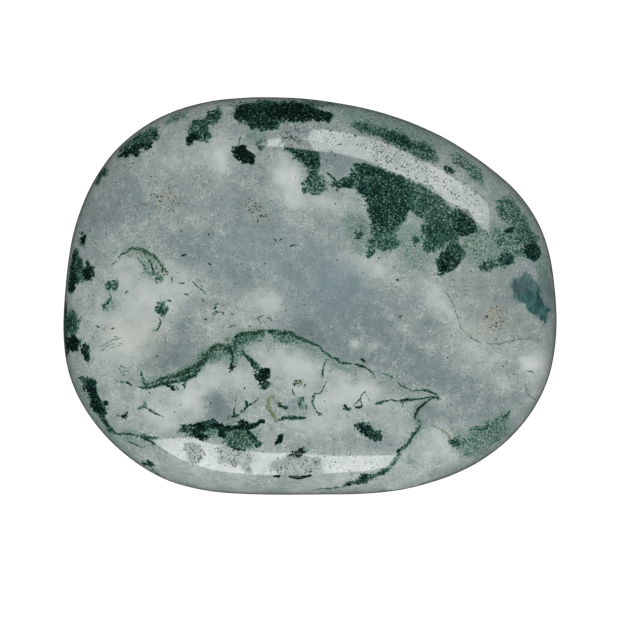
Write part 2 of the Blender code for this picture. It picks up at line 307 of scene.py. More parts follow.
# The leaf's outline and veins, the arch at the left, and the thin threads all round. The two threads along
# the left rim are partly moss and partly a painted dark reflection.
MOSS_THREADS_AND_RIM_REFLECTION = (
    *threads(Moss.MIST, 0.7, ((19.5, -9.3, 0.2), (19.9, -10.1, 0.25), (20.2, -10.8, 0.2))),
    *threads(
        Moss.HAZE, 0.9,
        ((-3.4, -4.3, 1.0), (-1.8, -4.5, 1.0), (0.4, -5.4, 0.8), (2.4, -6.8, 0.9), (4.8, -7.4, 0.8)),
        ((-7.2, -5.4, 1.2), (-6.0, -6.2, 0.8)),
        ((11.4, -10.9, 0.9), (10.5, -12.0, 0.9), (10.9, -12.9, 1.0), (10.0, -14.4, 0.8), (9.2, -15.6, 0.6)),
        ((-19.0, 3.9, 0.5), (-17.6, 4.6, 0.8), (-16.2, 4.0, 1.0), (-14.7, 2.2, 0.8)),
    ),
    *threads(
        Moss.PALE, 0.6,
        ((2.6, -6.85, 0.1), (1.9, -7.7, 0.1)),
        ((5.5, -9.5, 0.15), (5.9, -10.7, 0.08)),
        ((3.5, -12.2, 0.1), (3.65, -11.85, 0.1), (3.8, -12.25, 0.1)),
        ((-15.6, 3.6, 0.1), (-15.2, 2.6, 0.2), (-14.9, 1.9, 0.15)),
        ((-19.8, 3.0, 0.2), (-19.3, 3.4, 0.15)),
        ((-19.3, 4.9, 0.1), (-19.25, 4.4, 0.15), (-19.6, 4.2, 0.1)),
        ((-18.9, -7.3, 0.12), (-18.4, -8.1, 0.15)),
        ((-18.8, -7.0, 0.12), (-17.6, -7.2, 0.08)),
        ((-20.9, -5.1, 0.1), (-19.6, -4.4, 0.12), (-18.7, -4.1, 0.08)),
        ((-20.0, -5.3, 0.08), (-19.0, -4.8, 0.12), (-18.6, -4.4, 0.08)),
        ((-8.5, -1.65, 0.12), (-9.6, -1.85, 0.1), (-9.5, -2.2, 0.15)),
        ((-5.5, -2.2, 0.1), (-4.6, -1.9, 0.12)),
        ((-7.9, -2.9, 0.1), (-7.4, -2.6, 0.12)),
        ((-10.9, -0.2, 0.1), (-10.5, -0.7, 0.15)),
        (
            (13.4, 0.3, 0.1), (14.1, -0.55, 0.13), (14.45, -1.6, 0.13), (14.9, -2.8, 0.13),
            (15.5, -3.7, 0.15), (16.3, -4.35, 0.16), (17.0, -4.75, 0.13),
        ),
        (
            (17.7, -4.85, 0.13), (19.4, -4.75, 0.15), (20.5, -4.4, 0.15), (21.5, -4.3, 0.14),
            (23.2, -4.5, 0.1),
        ),
    ),
    *threads(
        Moss.PALE, 0.7,
        ((3.2, -19.2, 0.2), (0.4, -19.5, 0.25)),
        ((21.5, -8.9, 0.15), (22.0, -9.8, 0.2), (22.8, -10.5, 0.15)),
    ),
    *threads(Moss.PALE, 0.9, ((-17.2, 3.9, 0.2), (-16.6, 3.0, 0.4), (-15.9, 2.1, 0.4))),
    *threads(
        0.95, 0.8,
        (
            (-16.4, -8.7, 0.7), (-14.4, -8.4, 0.9), (-12.4, -7.7, 1.3), (-11.0, -6.8, 1.3),
            (-9.6, -5.6, 1.4), (-8.2, -5.3, 1.3), (-7.1, -4.6, 1.7), (-5.8, -4.1, 1.3), (-4.4, -4.0, 1.0),
        ),
    ),
    *threads(
        Moss.GREEN, 0.6,
        ((7.3, -7.7, 0.12), (8.2, -8.1, 0.25)),
        ((-7.2, -6.0, 0.2), (-7.3, -6.7, 0.15)),
        ((1.6, -6.3, 0.1), (1.35, -7.5, 0.18), (1.35, -8.1, 0.22)),
        ((1.8, -8.4, 0.1), (0.9, -9.7, 0.15), (0.35, -9.95, 0.22), (0.4, -11.0, 0.12), (0.7, -11.5, 0.2)),
        ((-7.4, -11.9, 0.3), (-8.2, -12.2, 0.2)),
        ((-0.7, -10.3, 0.2), (-0.9, -11.1, 0.25)),
        ((-1.6, -9.6, 0.15), (-1.6, -10.0, 0.12)),
        (
            (8.8, -8.6, 0.2), (9.5, -9.1, 0.22), (10.2, -9.3, 0.2), (11.6, -9.4, 0.22), (12.2, -9.6, 0.25),
            (12.8, -10.2, 0.3),
        ),
        ((9.1, -10.55, 0.2), (7.9, -10.45, 0.16), (7.0, -10.6, 0.35), (6.6, -10.7, 0.15)),
        ((9.25, -10.6, 0.2), (9.25, -11.0, 0.12)),
        ((10.35, -12.1, 0.25), (10.95, -12.45, 0.35)),
        ((11.1, -12.5, 0.2), (10.8, -13.2, 0.4), (10.1, -14.2, 0.4), (9.2, -15.3, 0.35)),
        (
            (9.0, -15.4, 0.3), (8.6, -16.2, 0.35), (8.1, -16.9, 0.4), (7.3, -17.6, 0.5), (6.4, -18.1, 0.5),
            (5.4, -18.4, 0.5), (4.0, -18.8, 0.35), (3.2, -19.1, 0.3),
        ),
        ((4.3, -10.9, 0.08), (5.5, -9.5, 0.15)),
        ((4.9, -10.3, 0.12), (5.0, -10.9, 0.15)),
        (
            (-19.1, 3.9, 0.15), (-18.4, 4.3, 0.25), (-17.6, 4.75, 0.35), (-16.6, 4.4, 0.4),
            (-15.8, 4.0, 0.4), (-15.0, 3.3, 0.35), (-14.6, 2.6, 0.2),
        ),
        ((-19.5, 1.5, 0.3), (-20.0, 0.5, 0.25)),
        ((-19.9, 0.1, 0.2), (-20.2, -0.7, 0.35), (-20.7, -1.0, 0.3)),
        ((-18.4, -14.5, 0.15), (-17.4, -14.9, 0.22), (-16.6, -15.1, 0.1)),
        ((-19.3, -12.0, 0.12), (-18.5, -12.0, 0.2)),
        ((-16.7, -10.6, 0.15), (-16.3, -11.2, 0.2), (-15.6, -11.6, 0.25), (-14.6, -12.1, 0.12)),
        ((-19.3, -8.5, 0.15), (-18.2, -8.8, 0.2), (-17.8, -8.95, 0.12)),
        ((-9.5, -0.9, 0.1), (-9.1, -0.7, 0.2)),
        ((-4.2, -2.1, 0.12), (-3.95, -2.5, 0.18)),
        ((-11.6, 1.3, 0.1), (-11.1, 0.7, 0.18), (-10.4, 0.2, 0.12)),
    ),
    *threads(
        Moss.GREEN, 0.8,
        ((-6.95, 15.9, 0.15), (-7.2, 15.0, 0.12)),
        ((-16.9, -7.7, 0.3), (-16.6, -8.5, 0.3), (-16.3, -8.9, 0.3)),
    ),
    *threads(Moss.GREEN, 0.9, ((-16.5, 4.2, 0.15), (-15.9, 3.1, 0.3), (-15.0, 1.7, 0.2))),
    *threads(
        Moss.DEEP, 0.4,
        ((-6.4, -13.4, 0.5), (-5.7, -14.1, 0.6), (-5.1, -14.8, 0.7), (-4.6, -14.7, 0.4)),
    ),
    *threads(
        Moss.DEEP, 0.6,
        ((-1.4, 14.4, 0.3), (-1.2, 13.95, 0.35), (-1.5, 13.7, 0.3)),
        ((1.7, 12.3, 0.15), (2.7, 11.4, 0.2)),
        (
            (-17.0, -9.1, 0.2), (-16.3, -9.15, 0.3), (-14.8, -8.9, 0.35), (-13.2, -8.5, 0.4),
            (-12.4, -8.3, 0.5), (-11.4, -7.9, 0.4),
        ),
        (
            (-16.3, -8.8, 0.2), (-14.4, -8.3, 0.3), (-13.2, -7.9, 0.5), (-12.2, -7.5, 0.7),
            (-11.2, -6.9, 0.6), (-10.2, -6.0, 0.6), (-9.3, -5.1, 0.6), (-8.6, -5.1, 0.5), (-7.9, -5.4, 0.7),
            (-7.5, -4.5, 0.7), (-7.1, -4.0, 0.6), (-6.2, -3.8, 0.5), (-5.4, -3.8, 0.45), (-4.5, -3.6, 0.4),
        ),
        (
            (-4.0, -3.6, 0.5), (-2.9, -3.75, 0.6), (-1.9, -3.85, 0.45), (-1.0, -4.2, 0.35),
            (-0.2, -4.5, 0.28), (0.7, -4.95, 0.25), (1.4, -5.5, 0.22), (2.2, -6.1, 0.25), (3.4, -6.6, 0.25),
            (4.4, -6.75, 0.2), (5.1, -7.0, 0.25), (5.8, -7.4, 0.2), (6.4, -8.0, 0.15),
        ),
        ((-7.9, -5.5, 0.45), (-7.7, -6.4, 0.3), (-7.7, -7.2, 0.3)),
        ((-6.6, -5.4, 0.25), (-5.9, -6.4, 0.45), (-5.2, -7.1, 0.6)),
        ((-5.2, -10.2, 0.1), (-6.1, -10.9, 0.25), (-6.9, -11.5, 0.2)),
        ((-6.4, -10.5, 0.25), (-6.1, -10.9, 0.25)),
        ((-7.6, -11.2, 0.3), (-7.45, -11.9, 0.4), (-6.9, -11.5, 0.2)),
        ((-8.2, -14.85, 0.25), (-6.5, -15.3, 0.3)),
        ((-3.1, -10.75, 0.3), (-2.3, -11.25, 0.35)),
        ((-3.3, -12.5, 0.12), (-2.4, -12.2, 0.25), (-1.6, -12.2, 0.4), (-0.5, -12.0, 0.25)),
        (
            (12.8, -10.2, 0.3), (11.8, -10.1, 0.2), (10.6, -10.25, 0.2), (9.5, -10.45, 0.3),
            (9.1, -10.6, 0.3),
        ),
        ((5.0, -11.0, 0.3), (4.55, -11.1, 0.35)),
        (
            (12.8, -10.2, 0.3), (12.0, -10.3, 0.2), (11.3, -10.8, 0.28), (10.7, -11.5, 0.3),
            (10.4, -12.2, 0.22),
        ),
        ((-15.1, -2.2, 0.1), (-14.85, -2.6, 0.18), (-15.0, -3.1, 0.15), (-15.7, -3.5, 0.12)),
        ((-14.2, -0.5, 0.1), (-13.9, -0.55, 0.25)),
        (
            (-23.3, -8.2, 0.4), (-22.2, -9.0, 0.8), (-21.6, -10.4, 0.9), (-21.0, -11.6, 0.8),
            (-20.4, -12.8, 0.5), (-19.5, -13.8, 0.4),
        ),
        ((-19.2, -13.8, 0.25), (-17.7, -13.85, 0.2), (-16.8, -14.1, 0.25), (-15.7, -14.6, 0.4)),
    ),
    # Along the left rim: moss, deepened by a painted dark reflection.
    *threads(Moss.DEEP, 0.7, ((-24.8, -0.6, 0.6), (-24.8, -3.2, 0.8), (-24.6, -5.8, 0.7))),
    *threads(2.0, 0.6, ((-23.5, 4.4, 0.45), (-23.8, 2.6, 0.85), (-24.0, 0.5, 0.8))),
    *threads(
        Moss.BLACK, 0.5,
        ((-3.6, -17.9, 0.3), (-3.0, -18.0, 0.3)),
        ((-2.1, -18.0, 0.25), (-1.0, -18.1, 0.3), (0.1, -18.0, 0.25)),
    ),
    *threads(
        Moss.BLACK, 0.6,
        (
            (-8.5, -13.2, 0.5), (-7.1, -13.15, 0.45), (-5.5, -12.9, 0.45), (-4.9, -12.5, 0.4),
            (-4.4, -12.75, 0.25),
        ),
        ((5.1, -6.3, 0.2), (5.45, -6.5, 0.2)),
    ),
)

# Single dashes and dots of moss.
FLECKS = (
    *ovals(
        Moss.PALE,
        (-19.4, -4.1, 0.6, 0.12, 10), (-19.9, -4.9, 1.0, 0.12, 15), (-20.6, -5.4, 0.5, 0.14, 30),
        (-18.6, -7.2, 0.5, 0.12, -60), (-18.2, -7.5, 0.6, 0.12, 40), (-19.1, -8.4, 0.6, 0.12, -5),
        (-12.0, 1.5, 0.4, 0.14, -20),
    ),
    *ovals(
        Moss.GREEN,
        (-18.2, 0.4, 0.4, 0.14, 30), (-12.3, 0.1, 0.4, 0.14, -30), (-10.6, -0.5, 0.5, 0.14, -50),
        (-9.3, -1.5, 0.4, 0.14, 35), (-8.6, -1.8, 0.4, 0.14, 60), (-7.7, -1.8, 0.3, 0.14),
        (-7.7, -3.0, 0.6, 0.14, 25), (-5.2, -2.3, 0.6, 0.14, -40), (-5.0, -2.0, 0.5, 0.12, 20),
        (-6.0, -3.1, 0.5, 0.12, 10), (-19.7, -3.2, 0.5, 0.14, 25), (-21.2, -3.1, 0.4, 0.14, -20),
        (-21.7, -4.2, 0.5, 0.16, 50), (-18.5, -8.6, 0.6, 0.14, -15), (-14.2, -0.6, 0.5, 0.14, 10),
        (-13.7, 1.7, 0.5, 0.14, -60), (-12.7, 1.3, 0.5, 0.14, 10), (-1.4, -8.9, 0.5, 0.14, 80),
        (-0.4, -9.0, 0.5, 0.14, 40), (-1.7, -9.5, 0.6, 0.14, 95), (-0.6, -10.4, 0.6, 0.16, 100),
        (-0.4, -11.1, 0.5, 0.14, 60), (20.3, -7.8, 0.3, 0.14, 30), (22.0, -7.6, 0.8, 0.14, -10),
        (8.3, 2.9, 0.5, 0.14, -20),
    ),
    *ovals(
        Moss.DEEP,
        (-9.4, -1.2, 0.6, 0.16, 35), (-10.4, -2.4, 0.3, 0.16), (-12.5, 4.0, 0.6, 0.2, 20),
        (-9.9, 3.1, 0.6, 0.16, -30), (-3.4, 5.6, 0.4, 0.14, -45), (-3.0, 5.6, 0.4, 0.14, 50),
        (-1.8, 5.0, 0.5, 0.2, 10), (-1.0, -10.9, 0.7, 0.16, 70), (5.4, 9.0, 0.3, 0.14),
        (9.0, -2.0, 0.3, 0.2), (8.7, 1.6, 0.3, 0.2),
    ),
    *ovals(Moss.BLACK, (-15.2, -6.0, 0.2, 0.16), (-10.1, 6.1, 0.2, 0.18)),
)

# The brownish threads, and the warm tinge on parts of the leaf and the arch.
OLIVE_THREADS = (
    *threads(0.15, 0.9, ((-13.6, -7.9, 0.6), (-11.6, -6.8, 0.9), (-9.4, -5.2, 1.2), (-7.6, -4.7, 1.2))),
    *threads(0.22, 0.9, ((-19.0, 4.0, 0.4), (-17.6, 4.7, 0.6), (-16.2, 4.0, 0.9), (-14.8, 2.4, 0.8))),
    *threads(0.25, 0.9, ((-7.0, -3.5, 0.6), (-4.4, -3.4, 0.6))),
    *threads(0.35, 0.6, ((-1.3, -8.5, 0.3), (-0.8, -8.8, 0.4))),
    *threads(0.6, 0.6, ((-17.1, 9.2, 0.2), (-16.3, 9.2, 0.25))),
    *threads(
        0.8, 0.6,
        ((-3.7, -10.1, 0.25), (-3.2, -10.8, 0.2)),
        ((12.3, -13.1, 0.12), (13.3, -13.4, 0.2), (14.0, -14.1, 0.3)),
    ),
    *threads(1.0, 0.6, ((-3.75, -10.1, 0.3), (-4.1, -11.1, 0.55), (-3.75, -11.8, 0.4), (-3.4, -12.5, 0.2))),
)

# The teal patch at the right edge.
TEAL_PATCH = (
    *ovals(0.45, (23.7, 0.8, 3.4, 1.2, -75, 0.6)),
    *ovals(0.8, (21.7, 0.5, 3.2, 2.8, -40, 0.2)),
    *ovals(0.95, (22.6, -0.9, 4.0, 2.0, -52, 0.15)),
)

# Where the stone is milkier than elsewhere, and where smokier.
MILK = clouds(
    (-15.5, 0.4, 12.0, 9.0, 0, 0.32), (-7.5, 1.4, 5.0, 2.6, 0, -0.16), (-11.0, -1.0, 6.0, 2.6, 0, -0.14),
    (-21.4, -3.8, 2.4, 2.4, 0, -0.14), (-18.0, -4.6, 8.0, 5.0, 0, 0.32), (-15.6, -9.0, 4.0, 2.6, 0, 0.14),
    (-15.2, -11.6, 6.0, 3.4, 0, 0.30), (-8.6, -9.0, 9.0, 3.6, 8, 0.22), (-9.6, -7.4, 4.0, 1.6, 20, 0.16),
    (-3.0, -11.0, 4.0, 2.4, 0, 0.14), (-11.6, -9.9, 3.4, 3.6, 0, 0.20), (-4.0, -6.4, 4.0, 3.0, 0, 0.20),
    (-1.4, -6.6, 4.0, 2.4, -15, 0.22), (1.2, -8.6, 8.0, 5.0, -15, 0.20), (6.4, -8.8, 3.0, 2.4, 0, 0.14),
    (3.6, -9.8, 9.0, 4.0, -10, 0.26), (9.2, -13.4, 3.4, 3.4, 0, 0.16), (-11.0, -17.0, 16.0, 4.0, -8, 0.12),
    (0.0, -13.1, 8.0, 2.8, 0, 0.26), (5.0, -18.0, 12.0, 3.4, 10, 0.22), (-13.0, 13.0, 9.0, 4.0, 25, 0.08),
    (-8.7, 13.6, 1.8, 4.0, 0, 0.32), (-11.2, 14.2, 3.0, 2.4, 0, 0.16), (-2.2, 11.4, 2.8, 6.0, 12, 0.46),
    (-3.6, 16.3, 2.6, 1.6, 0, 0.12), (1.6, 9.2, 6.0, 1.8, -12, 0.26), (6.4, 2.7, 5.2, 2.8, -30, 0.42),
    (-4.2, -0.4, 3.8, 3.2, 0, 0.34), (13.2, -0.9, 9.0, 2.4, -57, 0.30), (18.0, -6.2, 8.0, 3.4, 0, 0.14),
    (22.6, -9.6, 3.0, 5.0, 0, 0.16), (19.2, -8.5, 1.8, 1.8, 0, 0.25), (22.0, -6.8, 2.4, 1.8, 0, 0.34),
    (13.2, -14.6, 3.6, 3.6, 0, 0.28), (22.8, -7.0, 3.0, 4.0, 0, 0.16), (4.6, -4.6, 1.4, 1.2, 0, 0.44),
    (6.4, -5.3, 1.4, 1.0, 0, 0.38), (9.6, -3.4, 5.6, 1.2, -45, 0.26), (12.9, -10.6, 1.8, 1.4, 0, 0.30),
    (-6.0, 6.0, 18.0, 9.0, -25, -0.12), (-19.0, 8.6, 6.0, 5.0, 0, -0.22), (-12.5, 4.8, 7.0, 3.6, 0, -0.24),
    (4.0, -1.8, 13.0, 8.0, -30, -0.24), (2.6, -5.6, 9.0, 3.0, -25, -0.20),
    (11.0, -7.4, 7.0, 4.0, -20, -0.26), (19.0, 1.0, 9.0, 6.0, -20, -0.16), (11.2, 2.2, 4.0, 3.0, 0, -0.10),
    (-9.9, -10.6, 2.4, 2.8, 0, -0.30), (-8.5, -10.9, 2.4, 2.8, 0, -0.30), (-13.8, -5.6, 4.6, 4.6, 0, -0.44),
    (-9.6, -6.2, 3.0, 1.6, 0, -0.22), (-12.3, -2.9, 3.4, 2.4, -20, -0.26),
    (-0.6, -3.4, 4.0, 2.2, -20, -0.22), (11.2, -3.6, 3.0, 2.4, 0, -0.20), (3.0, -14.4, 9.0, 2.2, 0, -0.16),
    (-1.2, -11.2, 2.4, 2.4, 0, -0.26), (11.6, -11.6, 3.6, 3.0, 0, -0.26),
    (17.0, -11.6, 7.0, 3.4, 20, -0.22), (15.6, -9.0, 4.0, 3.0, 0, -0.16), (1.6, 13.8, 8.0, 2.8, -12, -0.24),
    (-2.4, 16.0, 4.0, 2.0, 0, -0.16), (-16.4, 1.5, 3.0, 2.4, 0, -0.20), (-21.4, 2.6, 3.0, 4.0, 0, -0.18),
    (1.2, -8.8, 2.4, 2.4, 0, -0.20),
)

# Where the grey of the stone turns to blue. The narrow strip along the left rim is partly a painted dark
# reflection.
BLUE_POOLS_AND_RIM_REFLECTION = clouds(
    (2.8, 1.4, 6.0, 5.6, -30, 1.0), (24.0, 0.5, 4.0, 1.4, -80, 0.9), (-24.6, 2.6, 1.4, 7.0, 0, 0.8),
    (-4.0, 4.0, 12.0, 9.0, 0, 0.4),
)

# The tan spots, and the warmer areas round them.
TAN_PATCHES = (
    *ovals(0.3, (17.0, 3.4, 6.0, 4.0, -20, 0.8), (-17.0, -4.0, 5.0, 4.0, 0, 0.8)),
    *ovals(0.35, (18.6, -3.2, 7.0, 4.0, 0, 0.8)),
    *ovals(
        0.5,
        (-14.2, 9.5, 3.2, 2.2, 0, 0.4), (-5.4, 8.4, 2.4, 1.3, -50, 0.4), (8.9, 3.8, 1.4, 0.8, 10, 0.5),
        (-17.8, 12.7, 1.4, 1.0, 0, 0.5),
    ),
    *ovals(1.0, (18.3, -2.3, 2.1, 1.9, 0, 0.6)),
)

# Where the polish is pitted.
PITTED_PATCHES = (
    *ovals(0.3, (3.6, -16.8, 8.0, 1.6, 4, 0.5)),
    *ovals(0.6, (-17.8, 12.7, 1.4, 1.0, 0, 0.5)),
    *ovals(
        0.7,
        (3.4, 15.6, 4.4, 1.6, -18, 0.5), (15.0, 10.0, 4.4, 2.4, -40, 0.5), (-1.2, -17.0, 4.8, 2.1, 0, 0.4),
    ),
    *ovals(
        1.0,
        (-1.7, 16.4, 3.0, 1.8, -5, 0.4), (11.0, 12.3, 4.0, 2.0, -30, 0.5), (-7.5, -15.9, 3.4, 2.0, -5, 0.4),
    ),
    *ovals(
        1.2,
        (-14.2, 9.5, 3.3, 2.2, 0, 0.3), (-5.4, 8.4, 2.6, 1.4, -50, 0.3), (18.3, -2.3, 2.1, 1.9, 0, 0.4),
        (-6.6, -17.2, 1.3, 0.9, -30, 0.4),
    ),
    *ovals(1.3, (8.0, 14.1, 4.6, 2.8, -25, 0.4)),
    *ovals(1.4, (-11.5, -15.8, 2.0, 1.9, 0, 0.4)),
)

# Where the polish is dull. The last one ends the lower highlight at the leaf.
DULL_PATCHES = (
    *ovals(0.3, (16.0, 9.2, 5.0, 2.4, -47, 0.8)),
    *ovals(0.35, (8.5, 13.8, 6.5, 2.4, -25, 0.8)),
    *ovals(
        1.0,
        (-1.7, 16.4, 3.2, 2.0, -5, 0.3), (-11.5, -15.8, 2.0, 1.9, 0, 0.3), (-7.5, -15.9, 3.6, 2.1, -5, 0.2),
        (-6.6, -17.2, 1.4, 1.0, -30, 0.3), (-1.2, -17.0, 5.2, 2.3, 0, 0.15),
        (10.0, -17.5, 6.4, 4.0, 54, 0.15),
    ),
)


class Tint(Enum):
    """The stone's colours, each as the levels from 0 to 255 that a screen shows."""

    SMOKE = (104, 117, 118)
    ASH = (126, 139, 138)
    FOG = (150, 160, 156)
    MILK = (174, 182, 178)
    CREAM = (192, 198, 194)
    # Also the colour of the painted dark reflection along the left rim.
    BLUE_POOL = (116, 134, 139)
    TAN = (148, 144, 126)
    DARK_TEAL = (24, 58, 60)
    TEAL = (62, 102, 102)
    MOSS_TRACE = (124, 146, 135)
    MOSS_VEIL = (104, 130, 119)
    MOSS_GREEN = (62, 94, 83)
    MOSS_DEEP = (33, 64, 57)
    MOSS_DARK = (18, 43, 38)
    MOSS_BLACK = (9, 22, 20)
    WARMER_MOSS = (150, 160, 120)
    OLIVE = (90, 100, 58)
    CRUMB = (132, 158, 148)
    # Painted shade, laid into the pits.
    PIT = (34, 38, 36)

    @property
    def linear(self) -> tuple[float, float, float, float]:
        """The linear colour, opaque.

        Returns:
            Its red, green, blue and alpha, by the curve of the sRGB standard.
        """
        shares = [level / 255 for level in self.value]
        linear = [s / 12.92 if s <= 0.04045 else ((s + 0.055) / 1.055) ** 2.4 for s in shares]
        return (*linear, 1.0)


class NodeSketch:
    """Adds nodes to one tree, and joins them as it adds them."""

    def __init__(self, tree: bpy.types.NodeTree) -> None:
        """Takes the tree that the nodes go into."""
        self.tree = tree

    def node(self, kind: str, **settings: object) -> bpy.types.Node:
        """Adds one node of a kind and gives it its settings.

        Args:
            kind: The node's type, by its name in Blender.
            settings: The values of its own properties.

        Returns:
            The node.
        """
        made = self.tree.nodes.new(kind)
        for name, value in settings.items():
            setattr(made, name, value)
        return made

    def feed(self, socket: Socket, source: Feed) -> None:
        """Links a socket to the one that feeds it, or sets it to a plain value."""
        if isinstance(source, bpy.types.NodeSocket):
            self.tree.links.new(source, socket)
        else:
            socket.default_value = source

    def math(self, operation: str, *sources: Feed) -> Socket:
        """The result of a Math node.

        Args:
            operation: What the node does, by its name in Blender.
            sources: What its inputs are fed with.

        Returns:
            The socket that gives the result.
        """
        made = self.node("ShaderNodeMath", operation=operation)
        for socket, source in zip(made.inputs, sources):
            self.feed(socket, source)
        return made.outputs[0]

    def vector(self, operation: str, *sources: Feed) -> Socket:
        """The result of a Vector Math node that gives a vector.

        Args:
            operation: What the node does, by its name in Blender.
            sources: What its inputs are fed with.

        Returns:
            The socket that gives the result.
        """
        made = self.node("ShaderNodeVectorMath", operation=operation)
        for socket, source in zip(made.inputs, sources):
            self.feed(socket, source)
        return made.outputs["Vector"]

    def scaled(self, point: Feed, scale: Feed) -> Socket:
        """A vector times a number.

        Args:
            point: The vector.
            scale: The number.

        Returns:
            The socket that gives the product.
        """
        made = self.node("ShaderNodeVectorMath", operation="SCALE")
        self.feed(made.inputs[0], point)
        self.feed(made.inputs["Scale"], scale)
        return made.outputs["Vector"]

    def measure(self, operation: str, *sources: Feed) -> Socket:
        """The result of a Vector Math node that gives a number.

        Args:
            operation: What the node does, by its name in Blender.
            sources: What its inputs are fed with.

        Returns:
            The socket that gives the result.
        """
        made = self.node("ShaderNodeVectorMath", operation=operation)
        for socket, source in zip(made.inputs, sources):
            self.feed(socket, source)
        return made.outputs["Value"]

    def ease(self, value: Feed, start: Feed, end: Feed, low: Feed = 0.0, high: Feed = 1.0) -> Socket:
        """A value turned smoothly from low to high as it goes from start to end.

        Args:
            value: What is turned.
            start: Where the result is low.
            end: Where the result is high.
            low: The result at and before start.
            high: The result at and after end.

        Returns:
            The socket that gives the result.
        """
        made = self.node("ShaderNodeMapRange", interpolation_type="SMOOTHSTEP", clamp=False)
        for name, source in (
            ("Value", value),
            ("From Min", start),
            ("From Max", end),
            ("To Min", low),
            ("To Max", high),
        ):
            self.feed(made.inputs[name], source)
        return made.outputs["Result"]

    def blend(self, share: Feed, first: Feed, second: Feed, blend_type: str = "MIX") -> Socket:
        """Two colours mixed, the second by a share.

        Args:
            share: How much of the second colour comes in, from 0 to 1.
            first: The first colour.
            second: The second colour.
            blend_type: How they are mixed, by its name in Blender.

        Returns:
            The socket that gives the colour.
        """
        made = self.node("ShaderNodeMix", data_type="RGBA", blend_type=blend_type)
        self.feed(made.inputs["Factor"], share)
        self.feed(made.inputs[6], first)
        self.feed(made.inputs[7], second)
        return made.outputs[2]

    def choose(self, share: Feed, first: Feed, second: Feed) -> Socket:
        """Two vectors mixed, the second by a share.

        Args:
            share: How much of the second vector comes in, from 0 to 1.
            first: The first vector.
            second: The second vector.

        Returns:
            The socket that gives the vector.
        """
        made = self.node("ShaderNodeMix", data_type="VECTOR")
        self.feed(made.inputs["Factor"], share)
        self.feed(made.inputs[4], first)
        self.feed(made.inputs[5], second)
        return made.outputs[1]

    def ramp(self, value: Feed, stops: tuple[tuple[float, Tint], ...]) -> Socket:
        """The colour of a Color Ramp at a value, for stops of a place and a colour each.

        Args:
            value: Where the ramp is read.
            stops: Its stops, from the lowest place up.

        Returns:
            The socket that gives the colour.
        """
        made = self.node("ShaderNodeValToRGB")
        elements = made.color_ramp.elements
        elements[0].position, elements[1].position = stops[0][0], stops[-1][0]
        for place, _ in stops[1:-1]:
            elements.new(place)
        for element, (_, tint) in zip(elements, stops):
            element.color = tint.linear
        self.feed(made.inputs["Fac"], value)
        return made.outputs["Color"]

    def noise(self, point: Feed, size: float, detail: float = 2.0, roughness: float = 0.5) -> Socket:
        """Noise from 0 to 1, whose lumps are about size millimetres across.

        Args:
            point: Where it is read.
            size: How large its lumps are, in mm.
            detail: How many finer layers lie on them.
            roughness: How strong each finer layer is, as a share of the one before.

        Returns:
            The socket that gives the noise.
        """
        made = self.node("ShaderNodeTexNoise")
        self.feed(made.inputs["Vector"], point)
        made.inputs["Scale"].default_value = 1 / size
        made.inputs["Detail"].default_value = detail
        made.inputs["Roughness"].default_value = roughness
        return made.outputs["Fac"]

    def group(self, tree: bpy.types.NodeTree, **sources: Feed) -> bpy.types.Node:
        """Places a node group and feeds its inputs, whose names are given with _ for each space.

        Args:
            tree: The group's tree.
            sources: What feeds each input.

        Returns:
            The group's node.
        """
        made = self.node("ShaderNodeGroup", node_tree=tree)
        for name, source in sources.items():
            self.feed(made.inputs[name.replace("_", " ")], source)
        return made


def new_group(
    name: str, inputs: tuple[tuple[str, str], ...], outputs: tuple[tuple[str, str], ...]
) -> tuple[NodeSketch, dict[str, Socket], bpy.types.Node]:
    """Starts a shader node group.

    Args:
        name: The group's name.
        inputs: Each input's name and kind, Float or Vector.
        outputs: Each output's name and kind.

    Returns:
        A sketch on the group's tree, its inputs by name, and the node that its outputs end in.
    """
    tree = bpy.data.node_groups.new(name, "ShaderNodeTree")
    for direction, sockets in (("INPUT", inputs), ("OUTPUT", outputs)):
        for socket_name, kind in sockets:
            tree.interface.new_socket(socket_name, in_out=direction, socket_type=f"NodeSocket{kind}")
    sketch = NodeSketch(tree)
    start = sketch.node("NodeGroupInput")
    end = sketch.node("NodeGroupOutput")
    return sketch, {socket.name: socket for socket in start.outputs if socket.name}, end


def soft_oval_group() -> bpy.types.NodeTree:
    """The group that lays one soft oval over the marks before it.

    Returns:
        The group. Curve and Line are the factors of the square of the reach, which is 1 all along
        the oval's edge, and Inner and Outer are where on that scale its edge begins and ends.
    """
    sketch, given, end = new_group(
        "soft_oval",
        (
            ("Point", "Vector"),
            ("Squares", "Vector"),
            ("Before", "Float"),
            ("Line", "Vector"),
            ("Curve", "Vector"),
            ("Inner", "Float"),
            ("Outer", "Float"),
            ("Depth", "Float"),
        ),
        (("After", "Float"),),
    )
    bent = sketch.measure("DOT_PRODUCT", given["Squares"], given["Curve"])
    straight = sketch.measure("DOT_PRODUCT", given["Point"], given["Line"])
    reach = sketch.math("ADD", bent, straight)
    mark = sketch.ease(reach, given["Inner"], given["Outer"], given["Depth"], 0.0)
    sketch.feed(end.inputs["After"], sketch.math("MAXIMUM", given["Before"], mark))
    return sketch.tree


def round_spot_group() -> bpy.types.NodeTree:
    """The group that lays one round spot over the marks before it.

    Returns:
        The group. Inner and Outer are how far from its middle its edge begins and ends, in mm.
    """
    sketch, given, end = new_group(
        "round_spot",
        (
            ("Point", "Vector"),
            ("Before", "Float"),
            ("Middle", "Vector"),
            ("Inner", "Float"),
            ("Outer", "Float"),
            ("Depth", "Float"),
        ),
        (("After", "Float"),),
    )
    away = sketch.measure("DISTANCE", given["Point"], given["Middle"])
    mark = sketch.ease(away, given["Inner"], given["Outer"], given["Depth"], 0.0)
    sketch.feed(end.inputs["After"], sketch.math("MAXIMUM", given["Before"], mark))
    return sketch.tree


